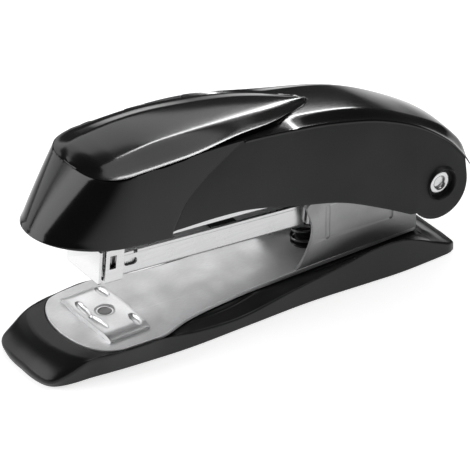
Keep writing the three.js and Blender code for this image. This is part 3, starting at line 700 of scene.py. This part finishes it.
def anvil_button():
    r, stem, knurl = 4.2, 1.7, 36
    low, shoulder, top = 0.9, 2.6, 7.6
    profile = [
        (0, low), (r - 0.7, low), (r - 0.2, low + 0.2), (r, low + 0.6), (r, shoulder - 0.3),
        (r - 0.2, shoulder), (stem, shoulder), (stem, top), (0, top),
    ]
    obj = turned("anvil_push_button", profile, (ANVIL_X, 0, 0), steps=knurl * 4)
    for v in obj.data.vertices:
        x, y = v.co.x / MM - SHIFT_X - ANVIL_X, v.co.y / MM
        if math.hypot(x, y) > r - 0.1:
            wave = 1 - 0.02 * (1 + math.cos(knurl * math.atan2(y, x)))
            v.co.x = (ANVIL_X + SHIFT_X + x * wave) * MM
            v.co.y = y * wave * MM
    done(obj, "anvil_button", BASE_BLACK, ["anvil_button"])


SPRING_X = (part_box("return_spring")[0].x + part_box("return_spring")[1].x) / 2 / MM - SHIFT_X


def springs():
    obj = wire("return_coil", helix(SPRING_X, 0, 3.7, 8.85, 16.9, 2), 0.45, 12)
    done(obj, "base", SPRING, ["return_spring"])
    obj = wire("button_coil", helix(ANVIL_X, 0, 3.2, 3.1, 5.5, 1.6, 0.6), 0.25)
    done(obj, "base", SPRING, ["anvil_spring"])
    top = PLATE_TOP_Z + 0.05
    obj = turned("spring_cup", [
        (0, top), (3.9, top), (4.0, top + 0.3), (3.8, top + 0.5), (3.05, top + 0.55), (2.75, top + 0.8),
        (2.5, top + 2.6), (2.2, top + 2.8), (0, top + 2.8),
    ], (SPRING_X, 0, 0))
    done(obj, "base", BASE_BLACK, ["spring_seat"])
    turns, radius, reach, steps = 5, 4.1, 5, 130
    path = []
    for k in range(steps + 1):
        a = k * math.tau * turns / steps
        path.append((radius * math.cos(a), lerp(-reach, reach, k / steps), radius * math.sin(a)))
    obj = wire("handle_coil", path, 0.58, 12, mag)
    done(obj, "magazine", SPRING, ["handle_spring"])


def rivet():
    """A tubular rivet with rolled ends."""
    half = [
        (0, 12.0), (1.55, 12.0), (1.75, 12.6), (2.1, 12.98), (2.6, 13.05), (3.15, 12.85), (3.35, 12.5),
        (3.3, 12.3), (2.7, 12.25),
    ]
    profile = half + [(r, -h) for r, h in reversed(half)]
    obj = turned("hinge_tube_rivet", profile[::-1], (HINGE_X, 0, HINGE_Z), "Y")
    done(obj, "base", NICKEL, ["hinge_rivet"])
    for side, s in (("left", 1), ("right", -1)):
        ring = [(2.8, 9.05), (4.8, 9.05), (5.0, 9.2), (5.0, 9.55), (4.8, 9.7), (2.8, 9.7), (2.8, 9.05)]
        washer = turned("washer_" + side, [(r, h * s) for r, h in ring], (HINGE_X, 0, HINGE_Z), "Y")
        done(washer, "base", SATIN, ["hinge_washer_" + side])


# ---- magazine
CHANNEL_REAR, CHANNEL_FRONT = -41.2, -99.6
NOSE_FRONT, NOSE_BOTTOM, NOSE_TOP, NOSE_Y = -107.0, -6.6, 3.0, 7.9
SLEEVE_FRONT = NOSE_FRONT + 1.8


def trough(name, x0, x1, y, bottom, top, thickness, radius, hem=0.0, place=mag):
    """A folded U of sheet metal along X with round bends, and a hem rolled out along its top edges."""
    outer = [(y, top, 0), (y, bottom, radius), (-y, bottom, radius), (-y, top, 0)]
    inner_y, inner_r, floor = y - thickness, max(radius - thickness, 0.15), bottom + thickness
    inner = [(-inner_y, top, 0), (-inner_y, floor, inner_r), (inner_y, floor, inner_r), (inner_y, top, 0)]
    if hem:
        lip = y + hem * 0.4
        rolled = [(y + hem, top - 0.05, 0.12), (y + hem, top - 0.9, 0.12), (y, top - 1.05, 0.05)]
        twin = [(-a, b, r) for a, b, r in reversed(rolled)]
        outer = [(lip, top, 0.1), *rolled, *outer[1:3], *twin, (-lip, top, 0.1)]
    section = rounded(outer + inner, steps=6)
    rings = [[(x, p.x, p.y) for p in section] for x in (x0, x1)]
    return build(name, *tube(rings), place)


def drilled(obj, outline, plane_y=(-20, 20), place=mag):
    cutter = outline_plate("cutter", outline, *plane_y, bevel=0.01, plane="XZ", place=place)
    return combined(obj, cutter, "DIFFERENCE")


def magazine():
    channel = trough("magazine_tray", CHANNEL_FRONT - 1.6, CHANNEL_REAR, 7.15, -6.05, 1.0, 0.65, 1.1, 0.22)
    slot = arc(-95.95, -2.3, 1.0, -90, 90, 12) + arc(-98, -2.3, 1.0, 90, 270, 12)
    drilled(channel, slot)
    drilled(channel, [(-96.4, 0.1), (-95.2, 0.1), (-95.2, 4), (-96.4, 4)])
    softened(channel, 0.13, 2, 50)
    done(channel, "magazine", NICKEL, ["magazine_channel"], sharp=35)

    sleeve = trough("nose_sleeve_plated", SLEEVE_FRONT, CHANNEL_FRONT, NOSE_Y, NOSE_BOTTOM, NOSE_TOP,
                    0.7, 0.5)
    drilled(sleeve, [(-103.9, -2.6), (-102.0, -2.6), (-102.0, 1.2), (-103.9, 1.2)])
    softened(sleeve, 0.12, 2, 50)
    done(sleeve, "magazine", NICKEL, ["nose_sleeve"], sharp=35)

    y, z0, z1 = NOSE_Y, NOSE_BOTTOM, NOSE_TOP
    corner = rounded([(y, z1, 0), (y, z0, 0.9), (0, z0, 0)], closed=False)
    face = [(-y, z1), *[(-p.x, p.y) for p in corner[1:-1]]]
    face += [(-a, b) for a, b in reversed(face)]
    verts = []
    for x, inset in ((NOSE_FRONT, 0.18), (NOSE_FRONT + 0.18, 0), (NOSE_FRONT + 0.7, 0)):
        verts.append([(x, a * (1 - inset / y), b + (inset if b < 0 else 0)) for a, b in face])
    plate = build("nose_front_plate", *tube(verts), mag)
    softened(plate, 0.12, 3, 40)
    done(plate, "magazine", NICKEL, ["nose_plate"], sharp=35)


def staples():
    """The strip: one staple beside the next, each a folded wire with round corners."""
    front = SLEEVE_FRONT + GAP
    pitch, width, strip_length = 0.62, 6.3, 34
    count = int(strip_length / pitch)
    leg_end, crown_top, wire_t = -5.25, 0.4, 0.55
    inside = width - wire_t
    outer = [(width, leg_end, 0), (width, crown_top, 0.6), (-width, crown_top, 0.6), (-width, leg_end, 0)]
    inner = [(-inside, leg_end, 0), (-inside, crown_top - wire_t, 0.25), (inside, crown_top - wire_t, 0.25),
             (inside, leg_end, 0)]
    section = rounded(outer + inner, steps=3)
    rings = []
    for k in range(count):
        for share, inset in ((0.02, 0.05), (0.2, 0), (0.8, 0), (0.98, 0.05)):
            x = front + (k + share) * pitch
            rings.append([(x, p.x * (1 - inset / width), p.y - (inset if p.y > 0 else 0)) for p in section])
    obj = build("staple_row", *tube(rings), mag)
    done(obj, "magazine", STAPLE, ["staple_strip"], sharp=30)
    rail_y = inside - GAP
    rail = trough("staple_guide", front - 0.1, CHANNEL_REAR, rail_y, 0, 4.8, 1.0, 1.0,
                  place=lambda p: mag((p[0], p[1], -0.45 - p[2])))
    softened(rail, 0.12, 2, 50)
    done(rail, "magazine", SATIN, ["staple_rail"], sharp=35)

    x0 = front + strip_length + GAP
    x1 = x0 + 8
    body = trough("staple_pusher", x0, x1, width, -crown_top, -leg_end, 0.6, 0.7,
                  place=lambda p: mag((p[0], p[1], -p[2])))
    softened(body, 0.2, 3, 50)
    done(body, "pusher", BASE_BLACK, ["pusher"], sharp=35)
    length, radius, rod_front, rod_z = 58, 0.8, -100, -3
    profile = [(0, 0), (0.55, 0), (radius, 0.3), (radius, length - 0.3), (0.55, length), (0, length)]
    rod = turned("pusher_guide_rod", profile, (0, 0, 0), steps=20,
                 place=lambda p: mag((p[2] + rod_front, p[0], p[1] + rod_z)))
    done(rod, "magazine", SATIN, ["pusher_rod"])
    start = x1 + GAP
    coil = helix(0, 0, 1.25, 0.25, CHANNEL_REAR - 1.25 - start, 9, 1)
    spring = wire("pusher_coil", coil, 0.2, 8, place=lambda p: mag((p[2] + start, p[0], p[1] + rod_z)))
    done(spring, "magazine", SPRING, ["pusher_spring"])


def magazine_arm():
    front, waist, low, high = -40.9, -26, -5.0, 1.0
    outline = [(front, low, 0.6), (waist, low, 2)] + [(x, z, 0) for x, z in arc(0, 0, 5.0, 260, 450, 24)]
    outline += [(waist, high, 2), (front, high, 0.6)]
    arm = twin_plates("arm", rounded(outline), 7.6, 8.6, circle(0, 0, 2.8), 0.15, mag)
    web = trough("web", front, waist, 8.0, low, low + 0.4, 0.8, 0.2)
    combined(arm, web, "UNION")
    arm.name = "magazine_side_arms"
    done(arm, "magazine", SATIN, ["magazine_arm"], sharp=35)


# ---- handle
side_y = along([
    (-54.4, 14.7), (-48.4, 16.4), (-34.3, 16.4), (-17, 15.5), (10, 14.7), (23, 14.5), (66, 14.3),
])
cheek_bottom_z = along([
    (-34, 37.4), (-17.1, 36.0), (-7, 34.5), (9.8, 29.7), (22.8, 25.9), (35.9, 19.7), (48.2, 13.0),
])
crease_y = along([(-42.4, 15), (-33, 15.3), (-23.6, 15.2), (-8, 14.5), (11, 12.6), (20, 12), (67, 11.9)])
crease_z = along([
    (-42.4, 56.5), (-23.6, 56.5), (-8, 55.45), (11.1, 51.9), (26.6, 48.5), (36.8, 45.5), (49.8, 39.4),
    (60.6, 31.4), (66.2, 24.9), (67.8, 22.4),
])
ridge_z = along([
    (-8, 54.1), (0, 53.5), (7, 52.9), (12, 52.8), (26, 50.3), (34, 48.1), (41, 45.3), (49, 41.3),
    (57, 36.7), (62, 33.2), (66.2, 28.9), (67.8, 26.7),
])
crown = along([(-8, 0.35), (41, 0.35), (49, 0.5), (57, 0.9), (67.8, 0.9)])
pad_side_y = along([
    (-42.4, 15.1), (-33, 15.3), (-23.6, 15), (-9.3, 12.4), (1.1, 10.3), (5.7, 8.8), (14, 5.2), (18.6, 2.6),
    (20.3, 0.6),
])
pad_edge_z = along([
    (-53.3, 56.1), (-44, 56.4), (-34, 56.6), (-23.6, 56.6), (-16, 56.5), (-9.3, 56.2), (-4, 55.65),
    (1.1, 54.95), (8, 53.9), (20.3, 51.7),
])
pad_ridge_z = along([
    (-52.1, 57.0), (-47, 57.8), (-42.4, 58.4), (-32.8, 59.15), (-23, 58.9), (-8.7, 57.5), (2, 56.0),
    (12, 54.0), (20.3, 51.9),
])
seam_x = along([
    (35.0, -32.7), (37.0, -32.6), (41, -30.5), (45, -27.7), (48.8, -23), (52.4, -16.8), (54.4, -12.8),
    (55.9, -9.5),
])
ROUND_END_X, ROUND_END_R = 56.2, 10.0
CHEEK_REAR_X = 48.2
SEAM_FRONT_X, SEAM_REAR_X, SEAM_TOP_Z = -32.7, -9.3, 55.9
HALF_SIDE_X = -33
RIDGE_Y = 8.2
RIM = 0.4
CHEEK_T = 1.2
PAD_T, PAD_END, PAD_FOLD = 2.3, 20.3, 0.53


def cap_bottom_z(x):
    return 37.25 - 0.13 * (x + 48.2)


def pad_edge_y(x):
    return min(front_half(CAP_TOP, x), pad_side_y(x)) if x < -41 else pad_side_y(x)


def cheek_low_z(x):
    """Height of a side panel's lower edge, which ends in a round lobe about the rivet."""
    if x < CHEEK_REAR_X:
        return cheek_bottom_z(x)
    reach = max(ROUND_END_R**2 - (x - ROUND_END_X) ** 2, 0)
    return HINGE_Z - math.sqrt(reach)


def lateral(x, z):
    """Half-width of the handle's side at a length and height behind the nose."""
    low = cap_bottom_z(x) if x < HALF_SIDE_X else cheek_low_z(min(x, ROUND_END_X))
    share = min(max((z - low) / (crease_z(x) - low), 0), 1)
    return lerp(side_y(x), crease_y(x), share) + 1.2 * share * (1 - share)


# Plan of the nose cap's round front: x of its middle and of its back, half-width, and squareness.
CAP_LOW = (-65.95, -45.5, 16.45, 2.05)
CAP_TOP = (-53.3, -40.2, 15.25, 2.8)


def round_front(plan, angle):
    """A point of a round front, from its middle at angle 0 to its side at a quarter turn."""
    front, back, half, power = plan
    c, s = max(math.cos(angle), 0), math.sin(angle)
    return back - (back - front) * c ** (2 / power), half * s ** (2 / power)


def front_half(plan, x):
    """Half-width of a round front at a length."""
    front, back, half, power = plan
    share = min(max((back - x) / (back - front), 0), 1)
    return half * (1 - share ** power) ** (1 / power)


def cap_columns():
    """Columns up the cap's outside, from the middle of its front back to the seam."""
    levels = [i / 26 for i in range(27)]
    columns = [front_column(math.pi / 2 * k / 40, levels) for k in range(41)]
    first = columns[-1]
    for k in range(1, 25):
        columns.append(side_column(first, k / 24, levels))
    for column in columns:
        top = column[-1]
        inside = max(top.y - pad_edge_y(top.x) + 0.5, 0) if top.x > HALF_SIDE_X else 0
        column += [Vector((top.x, top.y - inside * k / 3, top.z - 0.1 * inside * k)) for k in (1, 2, 3)]
    return columns


def front_column(angle, levels):
    """A column up the cap's round front."""
    swell = 0.28
    bx, by = round_front(CAP_LOW, angle)
    tx, ty = round_front(CAP_TOP, angle)
    low = Vector((bx, by, cap_bottom_z(bx)))
    high = Vector((tx, ty, lerp(56.1, 56.35, smoothstep(tx, -52, -40))))
    outward = Vector((-math.cos(angle), math.sin(angle), 0.2 * math.cos(angle))).normalized()
    return [low.lerp(high, s) + outward * (4 * s * (1 - s) * swell) for s in levels]


def side_column(first, share, levels):
    """A column up the cap's side, a share of the way from its first column to the seam."""
    low = cap_bottom_z(lerp(first[0].x, SEAM_FRONT_X, share))
    high = crease_z(lerp(CAP_TOP[1], SEAM_REAR_X, share))
    column = []
    for s, start in zip(levels, first):
        seam_z = lerp(cap_bottom_z(SEAM_FRONT_X), SEAM_TOP_Z, s)
        x, z = lerp(start.x, seam_x(seam_z), share), lerp(low, high, s)
        if x > HALF_SIDE_X:
            y = lateral(x, z)
        else:
            y = lerp(start.y, lateral(HALF_SIDE_X, z), smoothstep(x, -45, HALF_SIDE_X))
        column.append(Vector((x, y, z)))
    return column


def nose_cap():
    columns = cap_columns()
    rows = []
    for i, column in enumerate(columns):
        ahead = columns[min(i + 1, len(columns) - 1)][0] - columns[max(i - 1, 0)][0]
        out = Vector((-ahead.y, ahead.x, 0)).normalized() if i else Vector((-1, 0, 0))
        foot = column[0]
        curl = []
        for a in (90, 67, 45, 22):
            turn = math.radians(a)
            drop = Vector((0, 0, RIM * (math.sin(turn) - 1)))
            curl.append(foot - out * RIM * (1 - math.cos(turn)) - drop)
        lifted = [p + Vector((0, 0, RIM * max(1 - k / 2, 0))) for k, p in enumerate(column)]
        rows.append(curl + lifted)
    mirrored = [[Vector((p.x, -p.y, p.z)) for p in line] for line in reversed(rows[1:])]
    obj = build("nose_cap_moulding", *strip(mirrored + rows))
    face_away(obj, (-40, 0, 45))
    shelled(obj, 1.15)
    combined(obj, pad_bed(), "DIFFERENCE")
    softened(obj, 0.12, 2, 50)
    done(obj, "handle", BLACK, ["nose_cap"], sharp=48)


def pad_bed():
    """The room that the pad takes up in the mouldings under it."""
    high = 80
    rings = []
    for x in [*pad_stations(), PAD_END + 0.5]:
        half, low = pad_edge_y(x) + 0.05, pad_edge_z(x) - PAD_T - 0.5
        rings.append([(x, -half, low), (x, half, low), (x, half, high), (x, -half, high)])
    return build("pad_bed", *tube(rings))


def pad_stations():
    """Lengths along the pad, close together round its front and at its tip."""
    front = [round_front(CAP_TOP, math.pi / 2 * k / 24)[0] for k in range(23)]
    return front + spaced([-40, -33, -23.6, -16, -9.3, -1, 5.7, 12, 16, 18.6, 19.7, 20.15, PAD_END], 6)


def pad_section(x, v):
    """Height of the pad's top at a length, where v runs from 0 in the middle to 1 at its edge."""
    edge = pad_edge_z(x)
    rise = (pad_ridge_z(x) - edge) * math.sqrt(smoothstep(x, -53.4, -48.0))
    return ridged([v + k * 0.02 for k in range(-3, 4)], PAD_FOLD, 1, edge + rise, edge, 0.35)


def ridged(places, fold, width, peak, edge, bulge):
    """Mean height over a few places across: a low crown out to a fold, then a flank to the edge."""
    total = 0.0
    for w in map(abs, places):
        if w < fold:
            total += peak + bulge * (1 - (w / fold) ** 2)
        else:
            total += edge + flank((w - fold) / (width - fold), peak - edge)
    return total / len(places)


def flank(q, drop):
    """Height of a flank, drop at the ridge and 0 at the edge: steep at first, then a flatter lip."""
    lip, lip_height = 0.76, min(0.21, 0.3 * drop)
    if q < lip:
        return lerp(drop, lip_height, q / lip)
    return lip_height * (1 - min(q, 1.06)) / (1 - lip)


def top_pad():
    across = [math.sin(math.radians(a)) for a in range(-90, 91, 3)]
    rings = []
    for x in pad_stations()[2:]:
        half = pad_edge_y(x) - GAP
        top = [(x, v * half, pad_section(x, v)) for v in across]
        under = [(x, y * 0.97, z - PAD_T) for _, y, z in reversed(top)]
        rings.append(top + under)
    obj = build("top_pad_moulding", *tube(rings))
    softened(obj, 0.3, 3, 55)
    done(obj, "handle", BLACK, ["top_pad"], sharp=50)


def spine_height(x, y):
    """Height of the spine's top: a low crown between two ridges, then flanks with a flatter lip."""
    places = [y + k * 0.35 for k in range(-2, 3)]
    return ridged(places, RIDGE_Y, crease_y(x), ridge_z(x), crease_z(x), crown(x))


def spine_cover():
    xs = spaced([-9.15, -4, 2, 11.7, 20, 26.2, 37, 44, 49.8, 55, 60.6, 64, 66.2, 67.2, 67.8], 5)
    rows = []
    for x in xs:
        edge_y = crease_y(x) + 0.15
        across = [edge_y * (-1 + i / 30) for i in range(61)]
        line = [Vector((x, y, spine_height(x, y))) for y in across]
        drop = [Vector((x, s * (edge_y + 0.18), crease_z(x) - d)) for s in (-1, 1) for d in (0.28, 0.75)]
        rows.append([drop[1], drop[0], *line, drop[2], drop[3]])
    obj = build("spine_moulding", *strip(rows))
    face_away(obj, (25, 0, 20))
    shelled(obj, 1.2)
    combined(obj, pad_bed(), "DIFFERENCE")
    softened(obj, 0.15, 2, 55)
    done(obj, "handle", BLACK, ["spine_cover"], sharp=50)


def cheek_stations():
    """Lengths along a side panel, then round the lobe about the rivet."""
    forward = [-32.5, -31.6, -30.4, -28, -25, -21, -16.8, -13, -9.2, -5, 2, 9.8, 16, 22.8, 29, 35.9, 42]
    lobe = [ROUND_END_X + ROUND_END_R * math.sin(math.radians(a)) for a in range(-50, 91, 4)]
    return spaced([*forward, CHEEK_REAR_X], 3) + lobe + [ROUND_END_X + ROUND_END_R]


def cheek(side, s):
    rows = []
    for x in cheek_stations():
        low = cheek_low_z(x)
        high = crease_z(x) - 0.35
        if x < -9.2:
            high = min(high, seam_height(x - 0.14) - 0.05)
        high = max(high, low + 0.05)
        levels = [lerp(low, high, i / 24) for i in range(25)]
        rows.append([Vector((x, s * lateral(x, z), z)) for z in levels])
    obj = build("cheek_panel_" + side, *strip(rows))
    face_away(obj, (20, 0, 30))
    shelled(obj, CHEEK_T)
    combined(obj, seam_tongue(s), "UNION")
    reach = sorted((s * 10, s * 30))
    hole = outline_plate("well", circle(HINGE_X, HINGE_Z, 4.65, 56), *reach, bevel=0.01, plane="XZ")
    combined(obj, hole, "DIFFERENCE")
    cup = [(2.9, 12.1), (5.0, 12.1), (5.1, 12.3), (5.1, 13.2), (4.75, 14.0), (4.6, 14.32), (4.42, 14.2),
           (4.3, 13.6), (4.25, 12.75), (4.05, 12.45), (2.9, 12.4), (2.9, 12.1)]
    well = turned("cup", [(r, s * h) for r, h in cup], (HINGE_X, 0, HINGE_Z), "Y", 56)
    combined(obj, well, "UNION")
    done(obj, "handle", GREY, ["cheek_" + side], sharp=45)


def seam_tongue(s):
    """A tongue on the side panel that laps behind the nose cap's edge."""
    inset, ahead, behind, thick = 1.28, 0.9, 2, 0.5
    rings = []
    for k in range(15):
        z = lerp(36.2, 55.0, k / 14)
        x = seam_x(z)
        front, rear = lateral(x, z) - inset, lateral(x + behind, z) - inset
        rings.append([
            (x - ahead, s * front, z), (x + behind, s * rear, z),
            (x + behind, s * (rear - thick), z), (x - ahead, s * (front - thick), z),
        ])
    return build("tongue", *tube(rings))


def seam_height(x):
    """Height of the seam between nose cap and side panel at a length."""
    low, high = 35.0, SEAM_TOP_Z
    for _ in range(24):
        middle = (low + high) / 2
        if seam_x(middle) < x:
            low = middle
        else:
            high = middle
    return (low + high) / 2


def lever():
    outline = [
        (-45.4, 35.4, 0.4), (-30.9, 33.4, 3), (-4.8, 31.4, 3), (20, 28.6, 3), (34, 24, 3), (50, 14.6, 2),
        *[(x, z, 0) for x, z in arc(HINGE_X, HINGE_Z, 5.6, 240, 440, 24)],
        (46, 29, 3), (32, 36.4, 3), (10, 40.5, 3), (-20, 42.2, 3), (-45.4, 43, 0.4),
    ]
    bore = circle(HINGE_X, HINGE_Z, 2.8)
    obj = twin_plates("lever", rounded(outline, steps=4), 11.25, 11.95, bore, 0.14)
    web_line = [(-45.4, 42.9), (-20, 42.1), (10, 40.4), (25.5, 37.6)]
    y, thick = 11.4, 0.8
    rows = [[(x, -y, z), (x, y, z), (x, y, z - thick), (x, -y, z - thick)] for x, z in web_line]
    combined(obj, build("web", *tube(rows)), "UNION")
    obj.name = "lever_frame_plated"
    done(obj, "handle", NICKEL, ["lever_frame"], sharp=35)


def driver():
    radius, thick, half = 106.1, 0.5, 6.2
    level = 180 - math.degrees(TILT)
    tip, root = level - 1.1, level - 7.6
    outline = arc(HINGE_X, HINGE_Z, radius, tip, root, 18)
    outline += arc(HINGE_X, HINGE_Z, radius - thick, root, tip, 18)
    blade = outline_plate("driver_tongue", outline, -half, half, bevel=0.08, plane="XZ")
    done(blade, "handle", DARK_STEEL, ["driver_blade"], sharp=35)
    bend = [(-48.9, 41.9, 0), (-48.9, 44.8, 0.8), (-38, 44.8, 0), (-38, 43.6, 0), (-47.9, 43.6, 0.3),
            (-47.9, 41.9, 0)]
    foot = outline_plate("driver_foot", rounded(bend)[::-1], -half, half, bevel=0.15, plane="XZ")
    done(foot, "handle", SATIN, ["driver_bracket"], sharp=35)
    for side, s in (("left", 1), ("right", -1)):
        head = [(0, 44.85), (1.85, 44.85), (1.9, 45.2), (1.7, 45.7), (1.2, 46.05), (0.6, 46.18), (0, 46.2)]
        obj = turned("driver_rivet_head_" + side, head, (-42, s * 3.6, 0), steps=32)
        done(obj, "handle", NICKEL, ["driver_rivet_" + side])


# ---- the CAD nodes that stay
def kept_nodes():
    for name in ("base_pad_front", "base_pad_rear"):
        obj = frame["nodes"][name]
        obj.data.materials.clear()
        obj.data.materials.append(RUBBER)


# ---- floor, light, camera
def emitter(name, direction, distance, size, radiance, along_line=None):
    """A soft rectangular light that faces the object, its width level or along a given line."""
    light = bpy.data.lights.new(name, "AREA")
    light.shape = "RECTANGLE"
    light.size, light.size_y = size
    light.energy = radiance * math.pi * size[0] * size[1]
    obj = added(name, light)
    away = Vector(direction).normalized()
    across = Vector((0, 0, 1)).cross(away) if along_line is None else Vector(along_line)
    across = (across - away * across.dot(away)).normalized()
    obj.location = row((0, 0, 25)) + away * distance
    obj.rotation_mode = "QUATERNION"
    obj.rotation_quaternion = Matrix((across, away.cross(across), away)).transposed().to_quaternion()
    return obj


def studio():
    bpy.ops.mesh.primitive_plane_add(size=6, location=(0, 0, 0))
    floor = bpy.context.object
    floor.name = "studio_floor"
    n = Nodes("floor_white")
    n.shader.inputs["Base Color"].default_value = (0.8, 0.8, 0.8, 1)
    n.shader.inputs["Roughness"].default_value = 0.8
    n.shader.inputs["Specular IOR Level"].default_value = 0.1
    length = n.add("ShaderNodeVectorMath", operation="DISTANCE")
    n.link(n.coords, length.inputs[0])
    length.inputs[1].default_value = (0.014, 0.02, 0)
    glow = n.ranged(length.outputs["Value"], 0.7, 0.0, 0.138, 0.5)
    n.shader.inputs["Emission Color"].default_value = (1, 1, 1, 1)
    n.link(glow, n.shader.inputs["Emission Strength"])
    floor.data.materials.append(n.material)

    world = bpy.data.worlds.new("studio")
    scene.world = world
    world.use_nodes = True
    background = world.node_tree.nodes["Background"].inputs
    background["Color"].default_value = (1, 1, 1, 1)
    background["Strength"].default_value = 0.07
    emitter("overhead_panel", (0.42, 0.12, 0.86), 1.2, (1.1, 0.7), 2.0)
    emitter("back_panel", (0.42, 0.74, 0.53), 1.2, (1.0, 0.45), 1.4)
    emitter("near_fill", (0.4, -0.34, 0.85), 1.2, (0.6, 0.4), 2.0)
    emitter("nose_light", (-0.72, 0.46, 0.5), 1.1, (0.62, 0.66), 4)
    emitter("rim_light", (-0.42, 0.88, 0.2), 1.2, (0.5, 0.4), 1.8)
    strip_light = emitter("long_strip", (0.565, 0.58, 0.585), 1.1, (0.8, 0.08), 22, (0.665, 0.076, -0.74))
    lit = bpy.data.collections.new("lit_by_strip")
    for obj in list(scene.objects):
        if obj.name.startswith(("nose_cap_moulding", "top_pad_moulding", "spine_moulding", "cheek_panel")):
            lit.objects.link(obj)
    strip_light.light_linking.receiver_collection = lit
    scene.view_settings.view_transform = "Standard"


def camera():
    azimuth, elevation = math.radians(-34.86), math.radians(31.56)
    level = math.cos(elevation)
    back = Vector((math.sin(azimuth) * level, -math.cos(azimuth) * level, math.sin(elevation)))
    data = bpy.data.cameras.new("camera")
    data.lens = 249.6
    data.sensor_width = 36
    data.clip_start, data.clip_end = 0.05, 20
    obj = added("camera", data)
    obj.location = row((-2.02, 0, 17.29)) + back * 0.8685
    obj.rotation_mode = "QUATERNION"
    obj.rotation_quaternion = (-back).to_track_quat("-Z", "Y")
    scene.camera = obj


base_shell()
base_plate()
anvil()
anvil_button()
springs()
rivet()
magazine()
staples()
magazine_arm()
nose_cap()
top_pad()
spine_cover()
cheek("left", 1)
cheek("right", -1)
lever()
driver()
kept_nodes()
studio()
camera()
